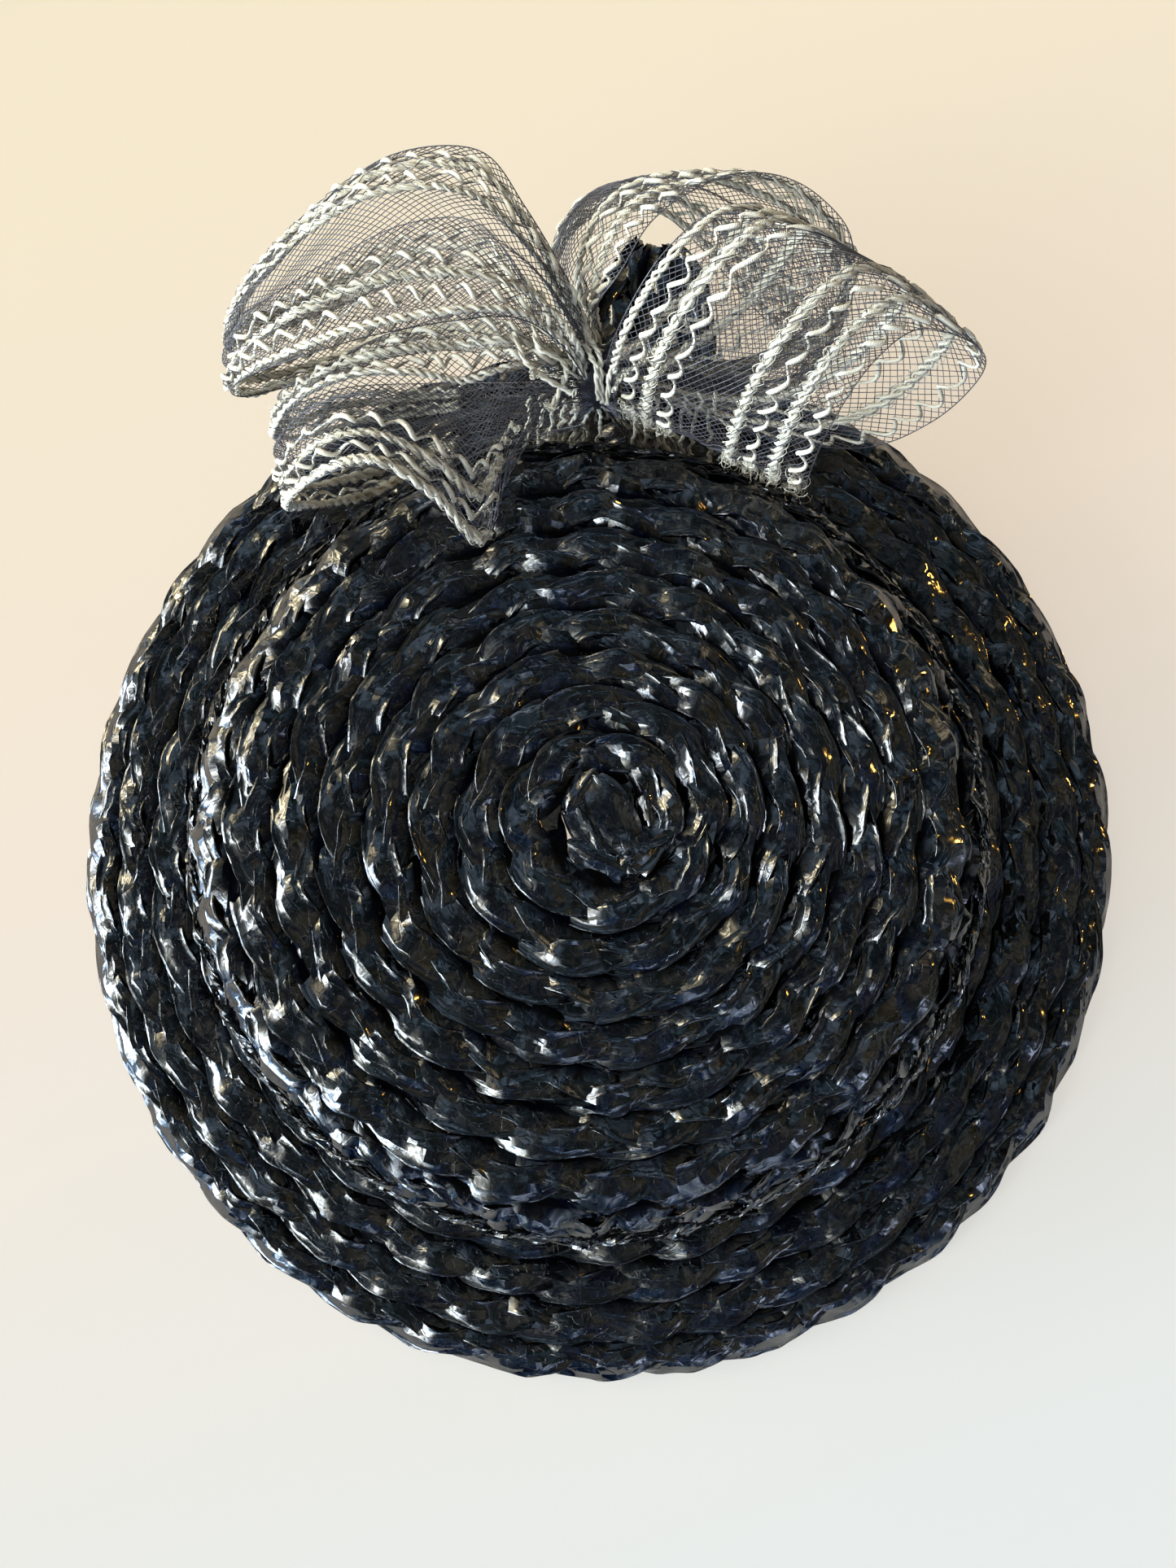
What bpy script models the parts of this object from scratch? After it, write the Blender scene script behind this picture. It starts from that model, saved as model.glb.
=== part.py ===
"""Small round tilt hat of plaited straw with a bow of wide horsehair ribbon.

The hat rests on its brim on the plane z = 0, crown up. The bow stands behind the
crown, on the +Y side. The pieces are modelled round the crown's own axis and hang on
one empty, which puts the middle of the whole hat's footprint on the origin. Lengths
are in metres; the tables of the bow are in millimetres and are scaled by MM.
"""
import math

import bmesh
import bpy
from mathutils import Vector

MM = 0.001
GAP = 0.3 * MM
MERGE = 0.0001

# How far the straw tab reaches behind the crown's axis
BACK_REACH = 141.0 * MM

# Straw braid rows
STRAW_WALL = 2.0 * MM
ROW_LIFT = 0.9 * MM
EDGE_ROW_LIFT = 0.55 * MM

# Crown
CROWN_HEIGHT = 42.0 * MM
CROWN_DOME = 2.5 * MM
CROWN_TOP_R = 77.5 * MM
CROWN_BASE_R = 80.5 * MM
CROWN_EDGE_ROUND = 9.0 * MM
CROWN_TOP_ROWS = 8
CROWN_EDGE_ROWS = 1
CROWN_WALL_ROWS = 3
CROWN_STEPS = 56

# Brim
BRIM_R = 115.0 * MM
BRIM_HOLE_R = 78.0 * MM
BRIM_RISE = 6.0 * MM
BRIM_EDGE_Z = 2.6 * MM
BRIM_FOOT_WIDTH = 4.0 * MM
BRIM_FOOT_INSET = 0.6 * MM
CROWN_SEAT_WIDTH = 1.2 * MM
BRIM_ROWS = 4
SCALLOPS = 38
SCALLOP_DEPTH = 1.6 * MM
STEPS_PER_SCALLOP = 3

# Ribbon and bow
RIBBON_WALL = 1.0 * MM
RIBBON_STEPS_ALONG = 24
RIBBON_STEPS_ACROSS = 6
KNOT_CENTRE = (3.0, 91.0, 47.0)
KNOT_HALF = (2.6, 5.8, 9.5)
GATHER_WALL = 2.4 * MM
TAB_WALL = 2.0 * MM

# Sections of each ribbon, in millimetres, along the ribbon from the knot.
# Columns: left edge x, y, z, right edge x, y, z, and how far the middle bulges out.
LEFT_FAR_LOOP = (
    (0, 87, 54, 0, 96, 56, 0.0),
    (-4, 91, 63, -2, 101, 61, 2.0),
    (-12, 93, 70, -11, 117, 65, 3.0),
    (-24, 94, 73, -20, 130, 64, 5.0),
    (-38, 92, 73, -37, 131, 62, 6.0),
    (-50, 90, 70, -51, 123, 60, 5.0),
    (-62, 90, 63, -63, 113, 55, 4.0),
    (-70, 92, 52, -71, 106, 47, 2.0),
    (-69.5, 95, 41, -70, 112, 38, 2.0),
    (-57, 99, 34, -57, 123, 34, 3.0),
    (-39, 103, 33, -39, 132, 34, 3.0),
    (-22, 102, 35, -22, 130, 36, 3.0),
    (-8, 95, 40, -9, 109, 41, 1.0),
    (0, 89, 43, 0, 97, 46, 0.0),
)
LEFT_NEAR_LOOP = (
    (0, 85, 49, 0, 93, 52, 0.0),
    (-5, 78, 52, -5, 91, 58, 1.0),
    (-13, 67, 50, -13, 92, 65, 2.0),
    (-20, 55, 50, -24, 91, 67, 3.0),
    (-28, 61, 60, -35, 88, 67, 4.0),
    (-38, 66, 66, -45, 85, 66, 4.0),
    (-48, 65, 64, -53, 84, 62, 4.0),
    (-57, 63, 54, -61, 84, 54, 1.0),
    (-58, 66, 40, -60, 88, 42, 3.0),
    (-48, 71, 31, -50, 96, 32, 3.0),
    (-34, 80, 26, -33, 98, 28, 3.0),
    (-17, 84, 29, -16, 96, 33, 2.0),
    (0, 84, 39, 0, 93, 40, 0.0),
)
RIGHT_FRONT_LOOP = (
    (6, 89, 42, 46, 71, 34, 0.0),
    (6.5, 88, 51, 45, 70, 48, 2.0),
    (11.5, 93, 64, 48, 75, 65, 4.0),
    (18.5, 100, 75, 54, 82, 74, 4.0),
    (25, 107, 79, 62, 87, 76, 3.0),
    (31, 111.5, 75, 73, 86.5, 70, 3.0),
    (30, 117, 64, 77, 86, 58, 3.0),
    (23, 111, 54, 70, 82, 44, 3.0),
    (15, 104, 50, 56, 80, 35, 2.0),
    (10, 98, 49, 32, 84, 36, 1.0),
    (6, 96, 50, 6.5, 91, 45, 0.0),
)
RIGHT_BACK_LOOP = (
    (1.5, 98, 42, 3.5, 97.5, 51, 0.0),
    (1, 103, 38, 3, 98.5, 60, 1.0),
    (-4, 117, 35, 4.5, 104, 68, 6.0),
    (0, 130, 35, 11, 115, 70, 7.0),
    (13, 132, 37, 23, 121.5, 69, 4.0),
    (24, 125, 34, 35, 124.5, 64, 3.0),
    (34, 115, 30, 46, 123, 58, 4.0),
    (44, 105, 27, 54, 116, 49, 4.0),
    (43, 97, 25, 49, 107, 40, 3.0),
    (28, 93.5, 27, 31, 99, 37, 1.0),
    (6.5, 95, 37.5, 6.5, 97, 43, 0.0),
)
LEFT_GATHER = (
    (-0.5, 91.0, 36.8, 2.7, 91.0, 37.0, 0.0),
    (-8.0, 89.0, 25.0, 1.5, 90.0, 26.0, 0.5),
    (-14.0, 86.5, 15.0, 0.5, 88.5, 15.0, 0.5),
    (-17.0, 85.0, 6.5, 0.0, 88.0, 6.5, 0.5),
)
RIGHT_GATHER = (
    (3.6, 91.0, 37.0, 7.5, 90.5, 36.8, 0.0),
    (6.0, 90.0, 26.0, 15.0, 88.0, 26.0, 0.5),
    (8.0, 88.5, 15.0, 22.0, 85.5, 15.0, 0.5),
    (9.0, 88.0, 6.5, 26.0, 83.5, 6.5, 0.5),
)
STRAW_TAB = (
    (1, 98, 6.9, 27, 96, 6.9, 0.0),
    (-1, 114, 5.4, 28, 112, 5.4, 0.0),
    (4, 131, 5.8, 27, 129, 5.8, 0.5),
    (10, 140, 9.8, 20, 139, 9.8, 1.0),
    (4, 131, 14.0, 26, 129, 14.0, 1.5),
    (-1, 114, 15.8, 28, 111, 15.8, 2.0),
    (3, 101, 15.2, 25, 99, 15.2, 1.0),
)


def clear_scene():
    for obj in list(bpy.data.objects):
        bpy.data.objects.remove(obj, do_unlink=True)


def new_hat():
    """Collection of the hat and the empty on the crown's axis that its pieces hang on."""
    collection = bpy.data.collections.new("tilt_hat")
    bpy.context.scene.collection.children.link(collection)
    hat = bpy.data.objects.new("crown_axis", None)
    hat.location.y = -0.5 * (BACK_REACH - BRIM_R)
    collection.objects.link(hat)
    return hat


def material(name, colour, roughness, metallic=0.0):
    mat = bpy.data.materials.new(name)
    mat.use_nodes = True
    shader = mat.node_tree.nodes["Principled BSDF"]
    shader.inputs["Base Color"].default_value = (*colour, 1.0)
    shader.inputs["Roughness"].default_value = roughness
    shader.inputs["Metallic"].default_value = metallic
    return mat


def add_object(name, mesh, hat, mat):
    obj = bpy.data.objects.new(name, mesh)
    obj.data.materials.append(mat)
    hat.users_collection[0].objects.link(obj)
    obj.parent = hat
    return obj


def shade_smooth(mesh, angle=40.0):
    mesh.shade_smooth()
    mesh.set_sharp_from_angle(angle=math.radians(angle))


def crown_curve(distance):
    """Point and outward normal on the crown's smooth outer line, from the top's centre."""
    flat = CROWN_TOP_R - CROWN_EDGE_ROUND
    arc = CROWN_EDGE_ROUND * math.pi / 2
    if distance <= flat:
        part = distance / flat
        r = distance
        z = CROWN_HEIGHT + CROWN_DOME * (1 - part * part)
        slope = -2 * CROWN_DOME * part / flat
        normal = Vector((-slope, 1)).normalized()
        return Vector((r, z)), normal
    if distance <= flat + arc:
        angle = (distance - flat) / CROWN_EDGE_ROUND
        normal = Vector((math.sin(angle), math.cos(angle)))
        centre = Vector((flat, CROWN_HEIGHT - CROWN_EDGE_ROUND))
        return centre + normal * CROWN_EDGE_ROUND, normal
    top = CROWN_HEIGHT - CROWN_EDGE_ROUND
    height = top - crown_foot_z()
    part = (distance - flat - arc) / height
    flare = CROWN_BASE_R - CROWN_TOP_R
    normal = Vector((height, flare)).normalized()
    return Vector((CROWN_TOP_R + flare * part, top - height * part)), normal


def crown_marks():
    """Distances along the crown's line at the end of the top, of the edge and of the wall."""
    flat = CROWN_TOP_R - CROWN_EDGE_ROUND
    arc = CROWN_EDGE_ROUND * math.pi / 2
    return flat, flat + arc, flat + arc + CROWN_HEIGHT - CROWN_EDGE_ROUND - crown_foot_z()


def crown_foot_z():
    return BRIM_RISE + GAP


def row_limits():
    """Distances along the crown's line where one braid row ends and the next begins."""
    flat, edge, foot = crown_marks()
    limits = [flat * i / CROWN_TOP_ROWS for i in range(CROWN_TOP_ROWS)]
    limits += [flat + (edge - flat) * i / CROWN_EDGE_ROWS for i in range(CROWN_EDGE_ROWS)]
    limits += [edge + (foot - edge) * i / CROWN_WALL_ROWS for i in range(CROWN_WALL_ROWS + 1)]
    return limits


def crown_profile():
    """Outer line in steps of one braid row, then the smooth inner side back up."""
    limits = row_limits()
    flat, edge, foot = crown_marks()
    outer = [Vector((0.0, CROWN_HEIGHT + CROWN_DOME))]
    for start, end in zip(limits, limits[1:]):
        if start > 0:
            outer.append(crown_curve(start)[0])
        if start >= flat and end <= edge:
            place, normal = crown_curve(0.5 * (start + end))
            outer.append(place + normal * EDGE_ROW_LIFT)
        place, normal = crown_curve(end)
        outer.append(place + normal * ROW_LIFT)
    inner = []
    for distance in (foot, edge, 0.5 * (flat + edge), flat, flat * 0.5):
        place, normal = crown_curve(distance)
        inner.append(place - normal * STRAW_WALL)
    inner.append(Vector((0.0, CROWN_HEIGHT + CROWN_DOME - STRAW_WALL)))
    outer[-1].y = crown_foot_z()
    inner[0].y = crown_foot_z()
    return outer + inner


def brim_top(radius):
    part = (radius - BRIM_HOLE_R) / (BRIM_R - BRIM_HOLE_R)
    return BRIM_RISE + (BRIM_EDGE_Z - BRIM_RISE) * part ** 1.3


def brim_profile():
    """Closed line of the brim: braid rows on top, a flat foot under the outer edge."""
    points = [Vector((BRIM_HOLE_R, z)) for z in (BRIM_RISE - STRAW_WALL, BRIM_RISE)]
    seat = CROWN_BASE_R + CROWN_SEAT_WIDTH
    points.append(Vector((seat, BRIM_RISE)))
    width = (BRIM_R - seat) / BRIM_ROWS
    for row in range(BRIM_ROWS):
        start = seat + width * row
        end = start + width
        if row:
            points.append(Vector((start, brim_top(start))))
        lift = ROW_LIFT if row < BRIM_ROWS - 1 else 0.0
        points.append(Vector((end, brim_top(end) + lift)))
    points.append(Vector((BRIM_R - BRIM_FOOT_INSET, 0.0)))
    points.append(Vector((BRIM_R - BRIM_FOOT_WIDTH, 0.0)))
    middle = 0.5 * (BRIM_R + BRIM_HOLE_R)
    points.append(Vector((middle, brim_top(middle) - STRAW_WALL)))
    return points


def turned_mesh(name, profile, steps, closed):
    """Mesh of a profile at +X turned round the Z axis with a Screw modifier."""
    mesh = bpy.data.meshes.new(name + "_profile")
    bm = bmesh.new()
    verts = [bm.verts.new((p.x, 0.0, p.y)) for p in profile]
    for a, b in zip(verts, verts[1:]):
        bm.edges.new((a, b))
    if closed:
        bm.edges.new((verts[-1], verts[0]))
    bm.to_mesh(mesh)
    bm.free()
    guide = bpy.data.objects.new(name + "_guide", mesh)
    bpy.context.scene.collection.objects.link(guide)
    screw = guide.modifiers.new("turn", "SCREW")
    screw.axis = "Z"
    screw.steps = steps
    screw.render_steps = steps
    screw.use_merge_vertices = True
    screw.merge_threshold = MERGE
    graph = bpy.context.evaluated_depsgraph_get()
    turned = bpy.data.meshes.new_from_object(guide.evaluated_get(graph))
    turned.name = name
    bpy.data.objects.remove(guide, do_unlink=True)
    return turned


def make_crown(hat, mat):
    mesh = turned_mesh("crown", crown_profile(), CROWN_STEPS, closed=False)
    shade_smooth(mesh, 30.0)
    return add_object("crown", mesh, hat, mat)


def make_brim(hat, mat):
    mesh = turned_mesh("brim", brim_profile(), SCALLOPS * STEPS_PER_SCALLOP, closed=True)
    outside = BRIM_R - 0.5 * BRIM_FOOT_WIDTH
    for vert in mesh.vertices:
        radius = math.hypot(vert.co.x, vert.co.y)
        if radius > outside:
            turn = math.atan2(vert.co.y, vert.co.x) / (2 * math.pi) * SCALLOPS
            notch = max(0.0, math.cos(2 * math.pi * turn))
            scale = 1 - SCALLOP_DEPTH * notch / radius
            vert.co.x *= scale
            vert.co.y *= scale
    shade_smooth(mesh, 30.0)
    return add_object("brim", mesh, hat, mat)


def catmull_rom(rows, part):
    """Row of a table read at a part from 0 to 1 of its length, on a smooth curve."""
    place = part * (len(rows) - 1)
    index = min(int(place), len(rows) - 2)
    f = place - index
    last = len(rows) - 1
    p0, p1 = rows[max(index - 1, 0)], rows[index]
    p2, p3 = rows[index + 1], rows[min(index + 2, last)]
    values = []
    for a, b, c, d in zip(p0, p1, p2, p3):
        values.append(0.5 * (2 * b + (c - a) * f + (2 * a - 5 * b + 4 * c - d) * f ** 2
                             + (3 * b - a - 3 * c + d) * f ** 3))
    return values


def ribbon_point(rows, along, across):
    """Point on a ribbon: across runs from 0 at its left edge to 1 at its right edge."""
    row = catmull_rom(rows, along)
    left, right, bulge = Vector(row[0:3]), Vector(row[3:6]), row[6]
    step = 0.004
    before = catmull_rom(rows, max(along - step, 0.0))
    after = catmull_rom(rows, min(along + step, 1.0))
    centre_before = Vector(before[0:3]) + Vector(before[3:6])
    centre_after = Vector(after[0:3]) + Vector(after[3:6])
    outward = (right - left).cross(centre_after - centre_before).normalized()
    arch = 4 * across * (1 - across)
    return (left.lerp(right, across) + outward * bulge * arch) * MM


def make_ribbon(name, rows, wall, along, across, hat, mat):
    """Open ribbon surface through the rows of a table, thickened with Solidify."""
    mesh = bpy.data.meshes.new(name)
    bm = bmesh.new()
    bmesh.ops.create_grid(bm, x_segments=along, y_segments=across, size=0.5)
    for vert in bm.verts:
        vert.co = ribbon_point(rows, vert.co.x + 0.5, vert.co.y + 0.5)
    bm.to_mesh(mesh)
    bm.free()
    shade_smooth(mesh, 60.0)
    obj = add_object(name, mesh, hat, mat)
    thick = obj.modifiers.new("wall", "SOLIDIFY")
    thick.thickness = wall
    thick.offset = 0.0
    return obj


def make_loop(name, rows, hat, mat):
    return make_ribbon(name, rows, RIBBON_WALL, RIBBON_STEPS_ALONG, RIBBON_STEPS_ACROSS,
                       hat, mat)


def make_gather(name, rows, hat, mat):
    return make_ribbon(name, rows, GATHER_WALL, 6, 6, hat, mat)


def make_tab(hat, mat):
    return make_ribbon("straw_tab", STRAW_TAB, TAB_WALL, 14, 4, hat, mat)


def make_knot(hat, mat):
    mesh = bpy.data.meshes.new("bow_knot")
    bm = bmesh.new()
    bmesh.ops.create_uvsphere(bm, u_segments=16, v_segments=10, radius=1.0)
    for vert in bm.verts:
        vert.co = Vector(c * h for c, h in zip(vert.co, KNOT_HALF)) * MM
    bm.to_mesh(mesh)
    bm.free()
    shade_smooth(mesh)
    obj = add_object("bow_knot", mesh, hat, mat)
    obj.location = Vector(KNOT_CENTRE) * MM
    return obj


def main():
    clear_scene()
    hat = new_hat()
    straw = material("glossy_straw", (0.008, 0.010, 0.016), 0.18)
    mesh_ribbon = material("striped_horsehair", (0.11, 0.11, 0.13), 0.55)
    thread = material("black_thread", (0.02, 0.02, 0.025), 0.6)
    make_crown(hat, straw)
    make_brim(hat, straw)
    make_loop("left_far_loop", LEFT_FAR_LOOP, hat, mesh_ribbon)
    make_loop("left_near_loop", LEFT_NEAR_LOOP, hat, mesh_ribbon)
    make_loop("right_front_loop", RIGHT_FRONT_LOOP, hat, mesh_ribbon)
    make_loop("right_back_loop", RIGHT_BACK_LOOP, hat, mesh_ribbon)
    make_gather("left_gather", LEFT_GATHER, hat, mesh_ribbon)
    make_gather("right_gather", RIGHT_GATHER, hat, mesh_ribbon)
    make_knot(hat, thread)
    make_tab(hat, straw)


main()
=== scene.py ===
"""Looks of the small tilt hat of plaited glossy straw with a bow of horsehair ribbon.

The frame's solids give every piece its place. The surfaces are worked out in millimetres
round the crown's own axis, which is where the frame's crown stands, and are moved into the
frame's metres when they become objects. The bow's ribbons follow the real bow more closely
than their plain solids do, so they stand up to about 6 mm off these in places.
"""
import math

import bpy
import numpy as np
from mathutils import Matrix, Vector


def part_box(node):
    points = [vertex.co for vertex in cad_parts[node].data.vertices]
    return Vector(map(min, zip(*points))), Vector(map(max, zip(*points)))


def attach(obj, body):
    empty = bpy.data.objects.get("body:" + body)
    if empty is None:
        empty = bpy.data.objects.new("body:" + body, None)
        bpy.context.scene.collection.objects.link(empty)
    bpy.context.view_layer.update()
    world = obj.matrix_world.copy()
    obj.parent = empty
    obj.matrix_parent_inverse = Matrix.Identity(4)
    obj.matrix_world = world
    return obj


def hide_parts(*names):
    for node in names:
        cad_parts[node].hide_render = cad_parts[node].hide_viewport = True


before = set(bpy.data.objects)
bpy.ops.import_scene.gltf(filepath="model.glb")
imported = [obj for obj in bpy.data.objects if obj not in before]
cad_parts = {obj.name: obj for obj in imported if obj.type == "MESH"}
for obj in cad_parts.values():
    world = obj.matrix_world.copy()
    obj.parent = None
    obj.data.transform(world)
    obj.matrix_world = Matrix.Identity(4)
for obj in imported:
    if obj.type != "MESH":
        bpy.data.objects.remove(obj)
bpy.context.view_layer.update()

MM = 0.001
TURN = 2 * math.pi

# The crown's axis in the frame
crown_low, crown_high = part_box("crown")
AXIS = np.array(((crown_low.x + crown_high.x) / 2, (crown_low.y + crown_high.y) / 2, 0.0)) / MM

# Crown and brim, as the solids have them
CROWN_HEIGHT = 42.0
CROWN_DOME = 2.5
CROWN_TOP_R = 77.5
CROWN_BASE_R = 80.5
CROWN_EDGE_ROUND = 9.0
CROWN_FOOT_Z = 6.3
CROWN_FLAT = CROWN_TOP_R - CROWN_EDGE_ROUND
CROWN_ARC = CROWN_EDGE_ROUND * math.pi / 2
CROWN_WALL = CROWN_HEIGHT - CROWN_EDGE_ROUND - CROWN_FOOT_Z
BRIM_R = 115.0
BRIM_HOLE_R = 78.0
BRIM_RISE = 6.0
BRIM_EDGE_Z = 2.6
BRIM_ROWS_FROM = 81.7
BRIM_ROWS = 4
SCALLOPS = 38

# Plait of three strands that the hat is sewn from. A row's outer side is raised by its tilt
ROW_PITCH = 8.4
PLAIT_SWING = 2.75
PLAIT_LOBE = 17.5
PLAIT_LIFT = 1.0
STRAND_WIDTH = 6.5
STRAND_THICK = 1.0
PLAIT_REACH = PLAIT_SWING + 0.5 * STRAND_WIDTH
ROW_TILT = 2.4
BRIM_ROW_TILT = 3.4
BRIM_ROUGH = 0.72
BRIM_LIFT = -0.1
EDGE_ROW_LIFT = -0.75
EDGE_ROW_DROP = 3.2
CROWN_LIFT = 0.25
CROWN_STEP = 1.0
BRIM_STEP = 1.15

# The crown's spiral: its centre off the axis, the distances from the centre at which the
# plait begins and at which the wall's mesh takes over, and the angle at which it starts
CENTRE_OFFSET = np.array((6.0, 2.0))
CENTRE_HOLE = 8.6
CROWN_SPLIT = 76.0
CROWN_START = 0.6


# Random curves and crumpled fields, the same on each run


class Wander:
    """Smooth random curve with a value from -1 to 1 at each whole place."""

    def __init__(self, seed, count=4096):
        self.values = np.random.default_rng(seed).uniform(-1, 1, count)

    def __call__(self, place):
        place = np.asarray(place, float)
        low = np.floor(place).astype(int)
        part = place - low
        part = part * part * (3 - 2 * part)
        count = len(self.values)
        return self.values[low % count] * (1 - part) + self.values[(low + 1) % count] * part


class Crumple:
    """Random field of flat facets: heights on a lattice, joined by straight creases."""

    def __init__(self, seed, rows=512, columns=64):
        self.values = np.random.default_rng(seed).uniform(-1, 1, (rows, columns))

    def __call__(self, along, across):
        rows, columns = self.values.shape
        i, j = np.floor(along).astype(int), np.floor(across).astype(int)
        f, g = along - i, across - j
        i0, i1, j0, j1 = i % rows, (i + 1) % rows, j % columns, (j + 1) % columns
        v = self.values
        lower = v[i0, j0] + (v[i1, j0] - v[i0, j0]) * f + (v[i1, j1] - v[i1, j0]) * g
        upper = v[i0, j0] + (v[i0, j1] - v[i0, j0]) * g + (v[i1, j1] - v[i0, j1]) * f
        return np.where(f >= g, lower, upper)


# Meshes


def add_object(name, data):
    """New object in the scene for a mesh, a light or a camera."""
    obj = bpy.data.objects.new(name, data)
    bpy.context.scene.collection.objects.link(obj)
    return obj


class Shell:
    """Gathers closed tubes, as grids of points in millimetres, for one joined mesh."""

    def __init__(self):
        self.points, self.round_points, self.count = [], [], 0
        self.faces, self.uvs, self.reach = [], [], []

    def add(self, grid, uv, round_columns=(), reach=None):
        """A tube as a grid of rings. uv has one more column than a ring, for the seam.

        Edges between points of the round columns stay smooth, however sharp they are. reach
        tells how far out of the groove between two rows of straw each point stands, up to 1; the
        straw's material paints shade into the groove from it.
        """
        rows, columns = grid.shape[:2]
        flags = np.zeros((rows, columns), bool)
        flags[:, list(round_columns)] = True
        self.points.append(grid.reshape(-1, 3))
        self.round_points.append(flags.ravel())
        index = np.arange(rows * columns).reshape(rows, columns) + self.count
        self.count += rows * columns
        reach = np.ones((rows, columns)) if reach is None else reach
        index, reach = [np.concatenate((v, v[:, :1]), axis=1) for v in (index, reach)]
        way = -1 if self.inward(grid) else 1
        order = np.arange(0, 4 * way, way) % 4
        quads, corners, depths = [
            np.stack((v[:-1, :-1], v[1:, :-1], v[1:, 1:], v[:-1, 1:]), 2)[:, :, order]
            for v in (index, uv, reach)]
        self.faces.extend(quads.reshape(-1, 4).tolist())
        self.uvs.append(corners.reshape(-1, 2))
        self.reach.append(depths.ravel())
        for row, turn in ((0, way), (-1, -way)):
            self.faces.append(index[row, :-1][::turn].tolist())
            self.uvs.append(uv[row, :-1][::turn])
            self.reach.append(reach[row, :-1][::turn])

    @staticmethod
    def inward(grid):
        """Tells whether a tube's rings run so that its faces would look to its inside."""
        middle = grid.mean(axis=1)
        spokes = grid - middle[:, None]
        areas = np.cross(spokes, np.roll(spokes, -1, axis=1)).sum(axis=1)
        return (areas[:-1] * np.diff(middle, axis=0)).sum() > 0

    def build(self, name, material, sharp_angle=14.0):
        """The mesh as an object. Without a sharp angle every edge stays smooth."""
        mesh = bpy.data.meshes.new(name)
        places = (np.concatenate(self.points) + AXIS) * MM
        mesh.from_pydata(places.tolist(), [], self.faces)
        mesh.materials.append(material)
        strand = mesh.uv_layers.new(name="strand")
        strand.data.foreach_set("uv", np.concatenate(self.uvs).astype(np.float32).ravel())
        # The second UV map carries how far each point stands out of the groove between rows, from
        # which the straw's material paints shade there
        groove = mesh.uv_layers.new(name="groove")
        reach = np.concatenate(self.reach).astype(np.float32)
        groove.data.foreach_set("uv", np.repeat(reach, 2))
        strand.active_render = True
        mesh.uv_layers.active = strand
        mesh.shade_smooth()
        if sharp_angle:
            mesh.set_sharp_from_angle(angle=math.radians(sharp_angle))
            self.keep_round(mesh)
        return add_object(name, mesh)

    def keep_round(self, mesh):
        """Takes the sharp mark off the edges that run along round columns."""
        flags = np.concatenate(self.round_points)
        ends = np.empty(2 * len(mesh.edges), np.int32)
        mesh.edges.foreach_get("vertices", ends)
        ends = ends.reshape(-1, 2)
        sharp = np.empty(len(mesh.edges), bool)
        layer = mesh.attributes["sharp_edge"].data
        layer.foreach_get("value", sharp)
        layer.foreach_set("value", sharp & ~(flags[ends[:, 0]] & flags[ends[:, 1]]))


def run_up(steps):
    """Running total of steps, from 0."""
    return np.concatenate(((0,), np.cumsum(steps)))


def steps_of(path, axis=0):
    return np.linalg.norm(np.diff(path, axis=axis), axis=-1)


def strip_uv(travel, points, tag=0):
    """UV of a tube: centimetres run, and the place round its ring after a tag of its own."""
    u = np.repeat(travel.reshape(-1, 1) / 10.0, points + 1, axis=1)
    v = np.broadcast_to(np.arange(points + 1) / points, u.shape) + tag
    return np.stack((u, v), -1)


def unit(vectors):
    return vectors / np.maximum(np.linalg.norm(vectors, axis=-1, keepdims=True), 1e-9)


# Hat surfaces: each takes a distance along the section, an angle and a height, in arrays


def crown_surface(distance, angle, height):
    """Point on the crown: distance runs from the top's centre, over the edge and down."""
    edge = np.clip((distance - CROWN_FLAT) / CROWN_EDGE_ROUND, 0, math.pi / 2)
    down = np.clip(distance - CROWN_FLAT - CROWN_ARC, 0, None)
    part = np.clip(distance / CROWN_FLAT, -1, 1)
    flare = (CROWN_BASE_R - CROWN_TOP_R) / CROWN_WALL
    r = np.minimum(distance, CROWN_FLAT) + CROWN_EDGE_ROUND * np.sin(edge) + down * flare
    z = CROWN_HEIGHT + CROWN_DOME * (1 - part ** 2) - CROWN_EDGE_ROUND * (1 - np.cos(edge)) - down
    slope = np.where(distance < CROWN_FLAT, 2 * CROWN_DOME * part / CROWN_FLAT, 0)
    out, up = np.sin(edge) + slope, np.cos(edge)
    size = np.hypot(out, up)
    r = r + height * out / size
    z = z + height * up / size
    shift = np.clip(1 - distance / CROWN_FLAT, 0, None)
    return np.stack((r * np.cos(angle) + CENTRE_OFFSET[0] * shift,
                     r * np.sin(angle) + CENTRE_OFFSET[1] * shift, z), -1)


def brim_surface(radius, angle, height):
    part = np.clip((radius - BRIM_HOLE_R) / (BRIM_R - BRIM_HOLE_R), 0, None)
    z = BRIM_RISE + (BRIM_EDGE_Z - BRIM_RISE) * part ** 1.3
    return np.stack((radius * np.cos(angle), radius * np.sin(angle), z + height), -1)


# Plaited straw


# Across a strand's top: a rolled lip at each edge, and flat crumpled facets between them
TOP_ACROSS = np.array((-1.0, -0.95, -0.86, -0.43, 0.0, 0.43, 0.86, 0.95, 1.0))
TOP_LIP = np.array((-0.10, 0.55, -0.12, 0.0, 0.0, 0.0, -0.12, 0.55, -0.10))
LIP_COLUMNS = (0, 1, 2, 6, 7, 8)
UNDER_POINTS = 2


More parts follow.
